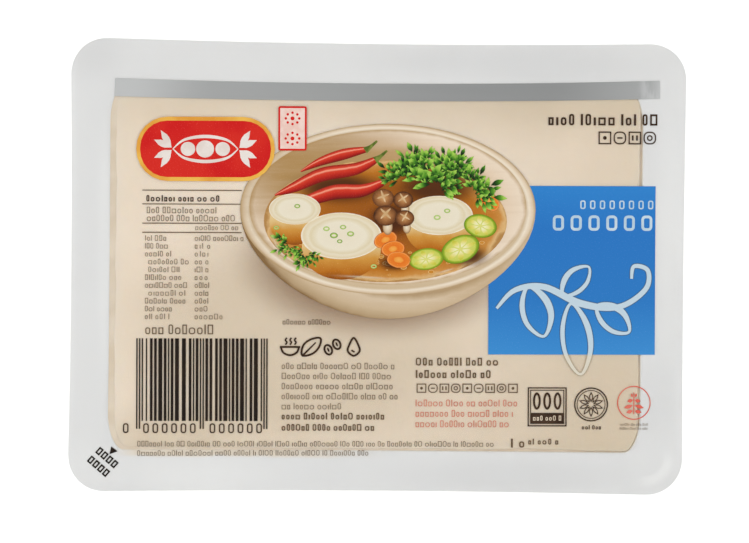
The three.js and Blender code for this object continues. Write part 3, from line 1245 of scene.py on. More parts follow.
class Stencil(Workpiece):
    """Flat shapes of one ink, which become thin closed sheets on the film. Sizes here are in mm."""

    step_mm = 0.0104  # how much each step of ink adds
    lift_mm = 0.0012  # how much each shape of a stack lies over the one before
    lifts = 16
    curve_steps = 8  # the pieces of each stretch of a ribbon
    grid_mm = 3.0  # the squares that large shapes are cut into
    skew = 0.35  # how far the print is turned on the film, in degrees

    def __init__(self, name: str, sizes: PackSizes, warp: Warp, stacked: bool) -> None:
        """Starts a stencil.

        Args:
            name: the piece's name.
            sizes: the pack's sizes.
            warp: what bends the film.
            stacked: whether its shapes overlap, each over the one before.
        """
        super().__init__(name)
        self.sizes = sizes
        self.warp = warp
        self.stacked = stacked
        self.numbers = itertools.count()

    def place(self, x: float, y: float) -> Vector:
        """The next shape's middle, with its height in a stack."""
        lift = self.lift_mm * (next(self.numbers) % self.lifts) if self.stacked else 0.0
        return Vector((x, y, lift)) * MM

    def block(
        self, x: float, y: float, width: float, height: float, corner: float = 0.0, steps: int = 6,
        line: float = 0.0,
    ) -> None:
        """Adds a rectangle about a point.

        Args:
            x: the point's X.
            y: the point's Y.
            width: its size along X.
            height: its size along Y.
            corner: its corners' radius.
            steps: the chords in each corner.
            line: the width of its outline, or 0 for a full shape.
        """
        self.rectangle((width * MM, height * MM), self.place(x, y), corner * MM, steps)
        if line:
            self.hollow(line)

    def oval(
        self, x: float, y: float, width: float, height: float, turn: float = 0.0, points: int = 40,
        line: float = 0.0,
    ) -> None:
        """Adds an oval about a point.

        Args:
            x: the point's X.
            y: the point's Y.
            width: its size along X.
            height: its size along Y.
            turn: how far it is turned anticlockwise, in degrees.
            points: how many corners it is drawn with.
            line: the width of its outline, or 0 for a full shape.
        """
        at = self.place(x, y)
        bpy.ops.mesh.select_mode(type="VERT")
        bpy.ops.mesh.select_all(action="DESELECT")
        bpy.ops.mesh.primitive_circle_add(vertices=points, radius=0.5, fill_type="NGON", location=at)
        bpy.ops.transform.resize(value=(width * MM, height * MM, 1), center_override=at)
        if turn:
            self.turn(turn, x, y)
        if line:
            self.hollow(line)

    def turn(self, degrees: float, x: float, y: float) -> None:
        """Turns what is selected anticlockwise about a point."""
        about = Vector((x, y, 0)) * MM
        bpy.ops.transform.rotate(value=-math.radians(degrees), orient_axis="Z", center_override=about)

    def leaf(self, x: float, y: float, length: float, width: float, turn: float) -> None:
        """Adds a pointed leaf that grows from a point.

        Args:
            x: the point's X.
            y: the point's Y.
            length: from there to its tip.
            width: its size across.
            turn: which way it points, in degrees from the right.
        """
        self.oval(x + length / 2, y, 0.7 * length, width, points=12)
        corners = [v for v in self.mesh.verts if v.select]
        min(corners, key=lambda v: v.co.x).co.x = x * MM
        max(corners, key=lambda v: v.co.x).co.x = (x + length) * MM
        bmesh.update_edit_mesh(self.object.data)
        self.turn(turn, x, y)

    def ribbon(self, points: list[Knot], closed: bool = False) -> None:
        """Adds a band along a curve, which is as wide at each point as its third number says.

        Args:
            points: X, Y and width where the curve passes.
            closed: whether it returns to its start.
        """
        path = smooth_path(points, self.curve_steps, closed)
        ends = (path[-2], path[1]) if closed else (path[0], path[-1])
        sides = []
        for before, here, after in zip([ends[0], *path], path, [*path[1:], ends[1]]):
            ahead = (after - before).xy.normalized()
            out = Vector((-ahead.y, ahead.x)) * here.z / 2
            sides.append((here.xy - out, here.xy + out))
        at = self.place(0, 0)
        for (right0, left0), (right1, left1) in zip(sides, sides[1:]):
            self.rectangle((MM, MM), at)
            face = next(f for f in self.mesh.faces if f.select)
            for vertex, corner in zip(face.verts, (right0, right1, left1, left0)):
                vertex.co.x, vertex.co.y = corner.x * MM, corner.y * MM
        bmesh.update_edit_mesh(self.object.data)

    def hollow(self, line: float) -> None:
        """Leaves only a line's width inside the shape that is selected."""
        super().hollow(line * MM)

    def press(
        self, level: Level, ink: object, slot: str, replaces: Iterable[str] = (), large: bool = False
    ) -> None:
        """Lays the shapes on the film as a finished piece.

        Args:
            level: how high they lie among the inks.
            ink: their finish.
            slot: the record's slot for it.
            replaces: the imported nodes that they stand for.
            large: whether they are cut into squares, so that they bend with the film.
        """
        self.select_all()
        bpy.ops.mesh.remove_doubles(threshold=0.0002 * MM)
        if large:
            self.cut_grid(self.grid_mm * MM)
        self.select_all()
        thickness = level * self.step_mm * MM
        bpy.ops.transform.translate(value=(0, 0, self.sizes.film_top + thickness))
        self.turn(self.skew, 0, 0)
        self.all_up()
        make_piece(self.warp.lay(self.done(), thickness), ink, slot, replaces, angle=20)


@dataclass
class Press:
    """Makes stencils for one film."""

    sizes: PackSizes
    warp: Warp

    def stencil(self, name: str, stacked: bool = False) -> Stencil:
        """A new, empty stencil, whose shapes may be stacked."""
        return Stencil(name, self.sizes, self.warp, stacked)

    def ovals(self, name: str, shapes: Iterable[tuple[float, ...]], points: int) -> Stencil:
        """A stencil of full ovals, each over the one before.

        Args:
            name: the piece's name.
            shapes: each oval's X, Y, width and height and, where it is turned, by how many degrees.
            points: how many corners each is drawn with.

        Returns:
            the stencil, ready to be pressed.
        """
        stencil = self.stencil(name, stacked=True)
        for shape in shapes:
            stencil.oval(*shape, points=points)
        return stencil


DARK = Ink("dark ink", srgb(56, 38, 24), srgb(72, 52, 36), 3 * MM)
LINE = Ink("rule ink", srgb(100, 80, 58), srgb(116, 96, 72), 3 * MM)
FAINT = Ink("faint ink", srgb(126, 108, 88), srgb(146, 128, 106), 4 * MM)
BLACK = Ink("bar ink", srgb(26, 14, 3), srgb(42, 27, 12), 9 * MM)
CORAL = Ink("coral ink", srgb(228, 142, 120), srgb(220, 128, 106), 4 * MM)
RED = Ink("red ink", srgb(214, 22, 20), srgb(222, 40, 28), 9 * MM)
GOLD = Ink("gold ink", srgb(246, 192, 84), srgb(232, 160, 60), 7 * MM)
WHITE = Ink("white ink", srgb(244, 234, 226), srgb(234, 220, 210), 4 * MM)


@dataclass
class Band:
    """The silver band near the far edge, with fine streaks where it runs out on the right."""

    press: Press
    length: float = 131.0
    width: float = 4.4
    at: Point = (2.35, 42.95)
    bow: float = 0.9

    def build(self) -> None:
        """Prints the band, which sags towards the middle."""
        stencil = self.press.stencil("band")
        points = []
        for share in (step / 4 for step in range(-4, 5)):
            sag = self.bow * (1 - share**2)
            points.append((self.at[0] + share * self.length / 2, self.at[1] - sag, self.width))
        stencil.ribbon(points)
        stencil.press(Level.FIELD, BandInk(), "silver_ink", ["print_band"], large=True)


@dataclass
class Badge:
    """The red badge: a field with round ends, a gold rim and a pale pod between two leaves."""

    press: Press
    length: float = 31.0
    width: float = 13.2
    radius: float = 6.5
    rim: float = 0.8
    gap: float = 0.3
    at: Point = (-41.4, 28.2)

    def build(self) -> None:
        """Prints the badge."""
        out = 2 * (self.gap + self.rim)
        stencil = self.press.stencil("badge_rim")
        stencil.block(*self.at, self.length + out, self.width + out, self.radius + out / 2)
        stencil.press(Level.EDGE, GOLD, "gold_ink", ["print_badge_rim"], large=True)
        stencil = self.press.stencil("badge_field")
        stencil.block(*self.at, self.length + self.gap, self.width + self.gap, self.radius)
        stencil.press(Level.BADGE, RED, "red_ink", ["print_badge"], large=True)
        self.build_pod()

    def build_pod(self) -> None:
        """Prints the pod of beans and the leaves on either side of it."""
        stencil = self.press.stencil("badge_pod", stacked=True)
        x, y = self.at
        for step, size in ((-4.2, 3.5), (-0.1, 4.3), (4.1, 3.5)):
            stencil.oval(x + step, y, size, size * 0.96, points=24)
        pod = [(-7.8, 0.0, 0.2), (-5.0, 2.2, 0.6), (0, 3.0, 0.8), (5.0, 2.2, 0.6), (7.8, 0.0, 0.2)]
        for side in (1, -1):
            stencil.ribbon([(x + px, y + side * py, width) for px, py, width in pod])
            for reach, turn in ((4.9, 58), (4.6, 24)):
                stencil.leaf(x + 8.1, y + side * 0.3, reach, 1.6, side * turn)
                stencil.leaf(x - 8.1, y + side * 0.3, reach, 1.6, 180 - side * turn)
        stencil.press(Level.MARK, WHITE, "pale_ink")


@dataclass
class Seal:
    """A small red frame that stands by the badge and holds two rings of dots."""

    press: Press
    at: Point = (-20.6, 33.2)
    size: Point = (6.8, 10.6)
    line: float = 0.45
    ring: float = 1.35
    dot: float = 0.95

    def build(self) -> None:
        """Prints the frame, its pale ground and its dots."""
        x, y = self.at
        stencil = self.press.stencil("seal_ground")
        stencil.block(x, y, *self.size, 0.5)
        ground = Ink("seal ground ink", srgb(250, 222, 210), srgb(244, 206, 192), 2 * MM)
        stencil.press(Level.BADGE, ground, "pale_ink", large=True)
        stencil = self.press.stencil("seal")
        stencil.block(x, y, *self.size, 0.5, line=self.line)
        for row in (-2.4, 2.4):
            stencil.oval(x, y + row, self.dot, self.dot, points=12)
            for step in range(8):
                turn = math.radians(45 * step)
                across, along = self.ring * 1.2 * math.cos(turn), self.ring * math.sin(turn)
                stencil.oval(x + across, y + row + along, 0.62, 0.62, points=12)
        stencil.press(Level.MARK, RED, "red_ink")


@dataclass
class Panel:
    """The blue panel: rows of pale blocks over a sprig drawn with a flowing stroke."""

    press: Press
    at: Point = (46.8, -0.6)
    size: Point = (40.4, 40.6)
    pen: float = 1.35

    def build(self) -> None:
        """Prints the panel and what is on it."""
        blue = ShapeInk("blue ink", patch=24 * MM, spread=Spread.ACROSS, speckle=0.12, stops=run(
            (0, 60, 144, 214), (0.3, 42, 124, 200), (0.75, 38, 120, 199), (1, 46, 134, 210),
        ))
        stencil = self.press.stencil("panel")
        stencil.block(*self.at, *self.size)
        stencil.press(Level.GROUND, blue, "blue_ink", ["print_panel"], large=True)
        pale = Ink("pale panel ink", srgb(206, 224, 234), srgb(186, 210, 226), 5 * MM)
        stencil = self.press.stencil("panel_rows")
        for number in range(8):
            stencil.block(49.3 + 2.36 * number, 15.2, 1.3, 2.1, 0.5, line=0.34)
        for number in range(6):
            stencil.block(43.4 + 4.3 * number, 10.8, 2.7, 3.7, 1.0, line=0.66)
        stencil.press(Level.FIELD, pale, "pale_ink")
        edge = self.fading("sprig edge ink", srgb(66, 106, 142), srgb(190, 174, 146))
        self.draw_sprig("sprig_edge", Level.RIM, edge, 0.4)
        line = self.fading("sprig ink", srgb(200, 219, 230), srgb(226, 219, 202))
        self.draw_sprig("sprig", Level.INSIDE, line, 0.0)

    def fading(self, name: str, colour: Colour, beyond: Colour) -> OvalInk:
        """An ink that turns from one colour to another where it runs out of the panel's near edge."""
        stops = ((0.0, colour), (0.97, colour), (1.0, beyond))
        return OvalInk(name, at_mm=self.at, size_mm=(900.0, self.size[1]), stops=stops, speckle=0.01)

    def draw_sprig(self, name: str, level: Level, ink: Ink, wider: float) -> None:
        """Draws the sprig: a long stem with a curl, three leaves in outline and a hanging pod.

        Args:
            name: the piece's name.
            level: how high it lies.
            ink: its finish.
            wider: how much wider than the pen it is drawn.
        """
        stencil = self.press.stencil(name, stacked=True)
        stem = [(28.6, -9.8, 0.5), (33, -5.4, 0.9), (40, -4.6, 1.1), (49, -8.6, 1.25), (58, -9.4, 1.0)]
        stem += [(64.6, -5.2, 0.9), (65.2, -0.6, 0.8), (61.8, 0.4, 0.7), (61.2, -2.6, 0.5)]
        stencil.ribbon([(x, y, self.pen * width + wider) for x, y, width in stem])
        leaves = ((36.2, -4.6, -72, 12.5, 1.0), (52.8, -9.2, -38, 10.0, 0.95), (44.6, -6.6, 48, 9.2, 0.8))
        for x, y, turn, length, pen in leaves:
            self.draw_leaf(stencil, (x, y), turn, length, self.pen * pen, wider)
        self.draw_leaf(stencil, (46.6, -8.6), -82, 17.2, self.pen * 0.85, wider, belly=0.19)
        stencil.press(level, ink, "pale_ink" if not wider else "blue_ink")

    def draw_leaf(
        self, stencil: Stencil, at: Point, turn: float, length: float, pen: float, wider: float,
        belly: float = 0.26,
    ) -> None:
        """Draws a leaf or pod in outline, with a pen that swells on one side.

        Args:
            stencil: what it is added to.
            at: where it grows from.
            turn: which way it points, in degrees from the right.
            length: its length.
            pen: the line's width.
            wider: how much is added to the pen.
            belly: half its width as a share of its length.
        """
        ahead = heading(turn)
        side = Vector((-ahead.y, ahead.x))
        shape = ((0, 0, 0.6), (0.3, 0.9, 1.2), (0.68, 0.95, 1.0), (1.0, 0.0, 0.5), (0.7, -0.9, 0.8))
        points = []
        for along, across, width in (*shape, (0.3, -0.85, 0.9)):
            place = Vector(at) + ahead * along * length + side * across * belly * length
            points.append((place.x, place.y, width * pen + wider))
        stencil.ribbon(points, closed=True)


class Style(Enum):
    """How a row of greeked print is drawn."""

    WORDS = "hollow blocks and bars grouped as words"
    BOLD = "the same with a heavier line"
    TILES = "square and round frames with a mark in each"
    PICTURES = "a bowl, a leaf, two beans and a drop, drawn in line"


@dataclass(frozen=True)
class Row:
    """One row of greeked print: its left end, base line, length and height in mm."""

    x: float
    y: float
    length: float
    height: float
    style: Style = Style.WORDS

    def draw(self, stencil: Stencil, dice: Dice) -> None:
        """Adds the row.

        Args:
            stencil: what it is added to.
            dice: what the sizes of a row of words are drawn with.
        """
        if self.style is Style.TILES:
            self.draw_tiles(stencil)
        elif self.style is Style.PICTURES:
            self.draw_pictures(stencil)
        else:
            self.draw_words(stencil, dice)

    def draw_words(self, stencil: Stencil, dice: Dice) -> None:
        """Adds hollow blocks, some with round ends, and bars, grouped as words.

        Args:
            stencil: what they are added to.
            dice: what their sizes are drawn with.
        """
        pen = (0.16 if self.style is Style.BOLD else 0.1) * self.height
        signs = []
        x = 0.0
        while x < self.length:
            for _ in range(dice.randint(2, 7)):
                width = self.height * dice.choice((0.0, 0.46, 0.5, 0.5, 0.56, 0.66))
                tall = self.height * (1.0 if dice.random() < (0.36 if width else 0.7) else 0.7)
                signs.append((x, max(width, 1.25 * pen), tall, dice.choice((0.0, 0.4, 0.4))))
                x += signs[-1][1] + 0.2 * self.height
            x += 0.34 * self.height
        signs = [sign for sign in signs if sign[0] + sign[1] <= self.length]
        stretch = (self.length - signs[-1][1]) / signs[-1][0]
        for start, width, tall, ends in signs:
            at = (self.x + start * stretch + width / 2, self.y + tall / 2)
            if width > 2 * pen:
                stencil.block(*at, width, tall, ends * width, 3, pen)
            else:
                stencil.block(*at, width, tall)

    def draw_tiles(self, stencil: Stencil) -> None:
        """Adds a row of frames, each with a dot, a bar, two dots or a ring in it.

        Args:
            stencil: what they are added to.
        """
        count = max(1, round(self.length / (1.14 * self.height)))
        pitch = self.length / count
        size = 0.84 * pitch
        pen = 0.1 * size
        for number in range(count):
            x, y = self.x + (number + 0.5) * pitch, self.y + self.height / 2
            stencil.block(x, y, size, 0.96 * self.height, (0.0, 0.4)[number % 2] * size, line=pen)
            if number % 4 == 0:
                stencil.oval(x, y, 0.3 * size, 0.3 * size, points=12)
            elif number % 4 == 1:
                stencil.block(x, y, 0.42 * size, 1.2 * pen)
            elif number % 4 == 2:
                for side in (-0.17, 0.17):
                    stencil.block(x + side * size, y, 0.14 * size, 0.4 * size)
            else:
                stencil.oval(x, y, 0.46 * size, 0.46 * size, points=16, line=pen)

    def draw_pictures(self, stencil: Stencil) -> None:
        """Adds four small pictures in line, as tall as the row.

        Args:
            stencil: what they are added to.
        """
        pitch, tall = self.length / 4, self.height
        pen = 0.095 * tall
        x, y = self.x + pitch / 2, self.y + tall / 2
        half = 0.44 * tall

        def stroke(points: Iterable[Point], width: float = 1.0, closed: bool = False) -> None:
            """Adds a stroke through points counted in half heights from the picture's middle."""
            stencil.ribbon([(x + a * half, y + b * half, width * pen) for a, b in points], closed)

        stroke(((-1, 0.0), (-0.72, -0.62), (0, -0.9), (0.72, -0.62), (1, 0.0)))
        stencil.block(x, y, 2 * half + pen, pen)
        for step in (-0.5, 0.0, 0.5):
            steam = ((0.0, 0.25), (0.16, 0.5), (0.0, 0.75), (0.16, 1.0))
            stroke([(step + a, b) for a, b in steam], 0.8)
        x += pitch
        stroke(((-1, -0.9), (-0.85, 0.2), (0.0, 0.85), (1, 0.95), (0.85, 0.0), (0.1, -0.75)), closed=True)
        stencil.ribbon([(x - half, y - half, pen), (x + 0.5 * half, y + 0.5 * half, 0.6 * pen)])
        x += pitch
        for side in (-1, 1):
            at = (x + side * 0.46 * half, y + side * 0.3 * half)
            stencil.oval(*at, half, 1.3 * half, 24, line=pen)
            stencil.oval(*at, 0.2 * half, 0.5 * half, 24, 12)
        x += pitch
        stroke(((0, 1.0), (0.55, 0.1), (0.62, -0.5), (0, -0.95), (-0.62, -0.5), (-0.55, 0.1)), closed=True)
        stroke(((-0.25, -0.35), (0.1, -0.55)), 0.8)


@dataclass
class SmallPrint:
    """The rows of greeked print: the table, its rules, the lists and the lines at the front."""

    press: Press
    seed: int = 7
    table_x: float = -55.8
    table_top: float = 6.2
    table_step: float = 1.88
    labels: tuple[float, ...] = (5.0, 5.4, 6.2, 9.6, 7.4, 8.6, 10.0, 8.8, 9.6, 6.4, 5.8)
    values: tuple[float, ...] = (11.6, 3.6, 3.2, 3.2, 3.2, 3.0, 3.4, 3.2, 3.2, 3.0, 6.6)
    values_x: float = -43.9
    rules: tuple[float, ...] = (18.3, 15.0, 10.4, 8.2)
    rule_left: float = -56.5
    rule_right: float = -32.7

    def build(self) -> None:
        """Prints the rows, one piece for each ink."""
        dice = Dice(self.seed)
        dark = [
            Row(40.9, 34.3, 26.4, 2.7, Style.BOLD),
            Row(52.7, 29.7, 14.6, 3.2, Style.TILES),
            Row(-55.5, 15.6, 17.4, 1.5, Style.BOLD),
            Row(-23.6, -21.7, 20.4, 5.0, Style.PICTURES),
        ]
        rule = [
            Row(9.2, -23.6, 19.8, 1.9, Style.BOLD),
            Row(9.2, -26.6, 18.0, 1.9, Style.BOLD),
            Row(9.2, -30.2, 24.8, 2.3, Style.TILES),
            Row(-23.0, -36.6, 24.6, 1.6, Style.BOLD),
            Row(-23.0, -39.3, 22.2, 1.6, Style.BOLD),
            Row(-22.8, -13.8, 11.4, 1.25),
            Row(-55.7, -16.2, 16.2, 2.3),
            Row(36.4, -42.6, 7.2, 1.4, Style.BOLD),
            Row(32.2, -43.4, 3.2, 2.2, Style.BOLD),
        ]
        faint = [
            Row(-55.4, 12.8, 16.6, 1.5),
            Row(-55.4, 10.9, 21.0, 1.5),
            Row(-43.8, 8.8, 10.2, 1.2),
            Row(-57.6, -43.2, 85.6, 1.35),
            Row(-57.6, -45.5, 55.4, 1.35),
        ]
        for number, (label, value) in enumerate(zip(self.labels, self.values)):
            indent = 0.8 if number in (3, 4, 7) else 0.0
            y = self.table_top - self.table_step * number
            faint.append(Row(self.table_x + indent, y, label, 1.3))
            faint.append(Row(self.values_x, y, value, 1.3))
        for number, length in enumerate((27.0, 26.2, 26.6, 27.8, 14.2)):
            faint.append(Row(-23.0, -24.5 - 2.42 * number, length, 1.5))
        coral = [Row(9.2, -33.4 - 2.5 * number, 24.4 - number, 1.6) for number in range(3)]
        for name, ink, slot, rows in (
            ("rows_dark", DARK, "dark_ink", dark),
            ("rows_brown", LINE, "dark_ink", rule),
            ("rows_faint", FAINT, "dark_ink", faint),
            ("rows_coral", CORAL, "red_ink", coral),
        ):
            stencil = self.press.stencil(name)
            for row in rows:
                row.draw(stencil, dice)
            if name == "rows_brown":
                self.rule_table(stencil)
            stencil.press(Level.FIELD, ink, slot)

    def rule_table(self, stencil: Stencil) -> None:
        """Adds the table's thin rules."""
        for y in self.rules:
            stencil.block((self.rule_left + self.rule_right) / 2, y, self.rule_right - self.rule_left, 0.22)


@dataclass
class Bars:
    """A block of bars of made-up widths, which says nothing, over a row of hollow blocks."""

    press: Press
    left: float = -57.9
    right: float = -26.4
    top: float = -17.2
    foot: float = -37.0
    guard_foot: float = -38.9
    tile_pitch: float = 2.24
    modules: int = 95
    seed: int = 31

    def build(self) -> None:
        """Prints the bars and the row under them."""
        dice = Dice(self.seed)
        module = (self.right - self.left) / self.modules
        stencil = self.press.stencil("bars")
        for start, width, guard in self.pattern(dice):
            foot = self.guard_foot if guard else self.foot
            x = self.left + (start + width / 2) * module
            stencil.block(x, (self.top + foot) / 2, width * module * 0.94, self.top - foot)
        stencil.press(Level.FIELD, BLACK, "dark_ink", large=True)
        stencil = self.press.stencil("bar_tiles")
        groups = [start + self.tile_pitch * number for start in (-55.5, -39.6) for number in range(6)]
        for x in (-60.4, *groups):
            stencil.block(x, -38.75, 1.35, 2.35, 0.6, line=0.3)
        stencil.press(Level.FIELD, DARK, "dark_ink")

    def pattern(self, dice: Dice) -> Iterator[tuple[float, float, bool]]:
        """Where the bars are.

        Args:
            dice: what their widths are drawn with.

        Yields:
            each bar's start and width in modules, and whether it is a long one.
        """
        guards = (0, 2, 46, 48, 92, 94)
        for start in guards:
            yield start, 1, True
        for first, last in ((4, 45), (50, 91)):
            place = first
            while place < last:
                width = min(dice.choice((1, 2, 2, 3, 3)), last - place)
                yield place, width, False
                place += width + dice.choice((1, 1, 2, 2))


@dataclass
class Marks:
    """Three plain marks at the near right: a framed square, a ring of petals and a coral ring."""

    press: Press
    square_at: Point = (40.9, -33.5)
    square: float = 9.4
    flower_at: Point = (51.5, -32.9)
    twig_at: Point = (61.9, -32.5)
    ring: float = 8.2

    def build(self) -> None:
        """Prints the marks."""
        x, y = self.square_at
        stencil = self.press.stencil("marks_dark")
        for size, line in ((self.square, 0.28), (self.square - 1.2, 0.2)):
            stencil.block(x, y, size, size, line=line)
        stencil.block(x, y - 2.7, self.square - 1.5, 2.5)
        for number in range(3):
            stencil.oval(x - 2.5 + 2.5 * number, y + 1.4, 1.9, 4.2, points=20, line=0.5)
        x, y = self.flower_at
        for size, line in ((self.ring, 0.3), (self.ring - 1.3, 0.16)):
            stencil.oval(x, y, size, size, line=line)
        for step in range(10):
            stencil.leaf(x + 0.5, y, 2.55, 0.95, 0)
            stencil.turn(36 * step + 18, x, y)
            stencil.hollow(0.2)
        Row(x - 2.2, y - 6.0, 4.6, 1.0, Style.BOLD).draw(stencil, Dice(3))
        stencil.press(Level.FIELD, DARK, "dark_ink")
        stencil = self.press.stencil("marks_pale")
        x, y = self.square_at
        Row(x - 3.4, y - 3.3, 6.8, 1.2, Style.BOLD).draw(stencil, Dice(8))
        ground = Ink("mark ground ink", srgb(228, 210, 186), srgb(216, 196, 170))
        stencil.press(Level.WALL, ground, "pale_ink")
        self.build_coral()

    def build_coral(self) -> None:
        """Prints the coral ring, the twig inside it and two short rows under it."""
        x, y = self.twig_at
        stencil = self.press.stencil("marks_coral")
        stencil.oval(x, y, self.ring, self.ring, line=0.24)
        for row, width in ((1.9, 1.2), (0.7, 2.6), (-0.6, 4.0), (-1.9, 3.0)):
            for side, turn in ((0.22, -16), (-0.22, 196)):
                stencil.leaf(x + side, y + row, width * 0.62 - 0.16, 0.9, turn)
        stencil.block(x, y - 0.1, 0.22, 5.2)
        stencil.press(Level.FIELD, Ink("warm ink", srgb(226, 96, 80), srgb(232, 130, 112)), "red_ink")
        stencil = self.press.stencil("marks_rows")
        for number in range(2):
            Row(x - 3.4, y - 5.5 - 0.95 * number, 6.8, 0.6).draw(stencil, Dice(5 + number))
        stencil.press(Level.FIELD, FAINT, "dark_ink")


@dataclass
class TabMark:
    """The small mark at the corner where the film is pulled: two short rows and an arrow head."""

    press: Press
    rows_at: tuple[Point, ...] = ((-64.9, -45.9), (-66.9, -48.0))
    arrow_at: Point = (-63.5, -44.2)
    turn: float = -41.0
    pitch: float = 1.6

    def build(self) -> None:
        """Prints the mark, turned to face the corner."""
        stencil = self.press.stencil("tab_mark")
        ahead = heading(self.turn)
        for x, y in self.rows_at:
            for step in (-1.5, -0.5, 0.5, 1.5):
                at = Vector((x, y)) + ahead * step * self.pitch
                stencil.block(*at, 1.2, 1.8)
                stencil.turn(self.turn, *at)
                stencil.hollow(0.36)
        stencil.oval(*self.arrow_at, 2.4, 2.2, turn=20, points=3)
        stencil.press(Level.FIELD, BLACK, "dark_ink")


# ---- The pictured dish


@dataclass
class Dish:
    """The pictured dish: a wide clay bowl seen at a slant, full of broth, roots and greens."""

    press: Press
    at: Point = (2.4, 13.9)
    rim: Point = (71.0, 41.0)
    front: float = 26.3  # from the middle to the near side of its front wall
    taper: float = 0.14  # how much narrower it is there, as a share of its length
    mouth_at: Point = (2.4, 14.4)
    mouth: Point = (66.6, 37.2)
    broth_at: Point = (1.8, 11.1)
    broth: Point = (58.4, 29.4)
    drops: int = 44
    smooth: int = 72  # the corners that its large ovals are drawn with
    seed: int = 19

    def build(self) -> None:
        """Prints the bowl and what floats in it."""
        self.dice = Dice(self.seed)
        self.build_bowl()
        self.build_broth()
        self.build_shades()
        self.build_rounds()
        self.build_pods()
        self.build_coins()
        self.build_greens()
        self.build_caps()
        self.build_slices()
        self.build_rings()
        self.build_glints()

    def build_bowl(self) -> None:
        """Prints the bowl's outside, rim and inside."""
        x, y = self.at
        stencil = self.press.stencil("dish")
        stencil.oval(*self.at, *self.rim, points=self.smooth)
        self.pull_front(stencil)
        wall = ClayInk(
            "clay wall ink", patch=3 * MM, at_mm=(x + 4, y + 2),
            size_mm=(self.rim[0] + 6, 2 * self.front + 6), speckle=0.03, brown_at_mm=(x + 30, y - 14),
            brown_size_mm=(58.0, 40.0), depth=0.45,
            stops=run(
                (0, 222, 200, 170), (0.77, 184, 156, 118), (0.82, 222, 200, 170), (0.9, 210, 185, 150),
                (0.97, 184, 156, 118), (1, 138, 106, 66),
            ),
        )
        stencil.press(Level.WALL, wall, "clay_ink", ["print_dish"], large=True)
        rim = ClayInk(
            "clay rim ink", patch=4 * MM, at_mm=self.at, size_mm=self.rim, speckle=0.01,
            brown_at_mm=(x - 28, y + 6), brown_size_mm=(56.0, 44.0), depth=0.5,
            stops=run(
                (0, 230, 210, 182), (0.93, 214, 190, 155), (0.955, 246, 232, 210), (0.98, 230, 208, 178),
                (1, 188, 158, 116),
            ),
        )
        stencil = self.press.ovals("dish_rim", [(*self.at, *self.rim)], self.smooth)
        stencil.press(Level.RIM, rim, "clay_ink", large=True)
        inside = ClayInk(
            "inner clay ink", patch=3 * MM, at_mm=self.mouth_at, size_mm=self.mouth, speckle=0.04,
            brown=srgb(180, 142, 88), brown_at_mm=(x - 20, y + 10), brown_size_mm=(76.0, 44.0),
            depth=0.95,
            stops=run(
                (0, 206, 172, 126), (0.72, 206, 172, 126), (0.84, 236, 212, 184), (0.965, 243, 224, 200),
                (1, 200, 170, 130),
            ),
        )
        stencil = self.press.ovals("dish_inside", [(*self.mouth_at, *self.mouth)], self.smooth)
        stencil.press(Level.INSIDE, inside, "clay_ink", large=True)

    def pull_front(self, stencil: Stencil) -> None:
        """Pulls the near half of the selected oval out into the bowl's tapered front wall.

        Args:
            stencil: what holds the oval.
        """
        x, y = (side * MM for side in self.at)
        half = self.rim[1] / 2 * MM
        for vertex in (v for v in stencil.mesh.verts if v.select and v.co.y < y):
            fall = (y - vertex.co.y) / half
            vertex.co.x = x + (vertex.co.x - x) * (1 - self.taper * fall**2)
            vertex.co.y = y - fall * self.front * MM
        bmesh.update_edit_mesh(stencil.object.data)

    def build_broth(self) -> None:
        """Prints the broth and the drops of oil on it."""
        broth = OvalInk(
            "broth ink", patch=5 * MM, at_mm=self.broth_at, size_mm=self.broth, speckle=0.2,
            stops=run(
                (0, 146, 78, 16), (0.5, 172, 98, 20), (0.8, 194, 118, 30), (0.92, 208, 144, 66),
                (0.97, 226, 184, 124), (1, 184, 136, 76),
            ),
        )
        stencil = self.press.ovals("broth", [(*self.broth_at, *self.broth)], self.smooth)
        stencil.press(Level.BROTH, broth, "broth_ink", ["print_broth"], large=True)
        oil = ShapeInk("oil drop ink", patch=1 * MM, vary=0.1, stops=run(
            (0, 218, 150, 58), (0.62, 200, 126, 36), (0.84, 246, 206, 132), (1, 156, 88, 22),
        ))
        drops = []
        for _ in range(self.drops):
            turn = math.radians(self.dice.uniform(190, 350))
            out = self.dice.uniform(0.55, 0.93)
            x = self.broth_at[0] + out * math.cos(turn) * self.broth[0] / 2
            y = self.broth_at[1] + out * math.sin(turn) * self.broth[1] / 2
            size = self.dice.uniform(0.5, 1.7)
            drops.append((x, y, size, 0.62 * size))
        self.press.ovals("oil_drops", drops, 16).press(Level.SHADE, oil, "broth_ink")

    def build_shades(self) -> None:
        """Prints soft dark tones under what floats in the broth."""
        shades = (
            (-8.4, 2.4, 24, 10), (-20.0, 9.4, 15, 10), (15.0, 7.2, 21, 12), (-9.5, 19.0, 34, 12),
            (14.0, 19.5, 32, 15), (3.4, 11.4, 18, 13), (21.5, 2.8, 16, 8), (4.0, 1.0, 12, 6),
        )
        tone = SoftTone("dish shade ink", srgb(84, 40, 10), 0.74, 0.2)
        self.press.ovals("dish_shades", shades, 32).press(Level.SHADE, tone, "brown_ink", large=True)

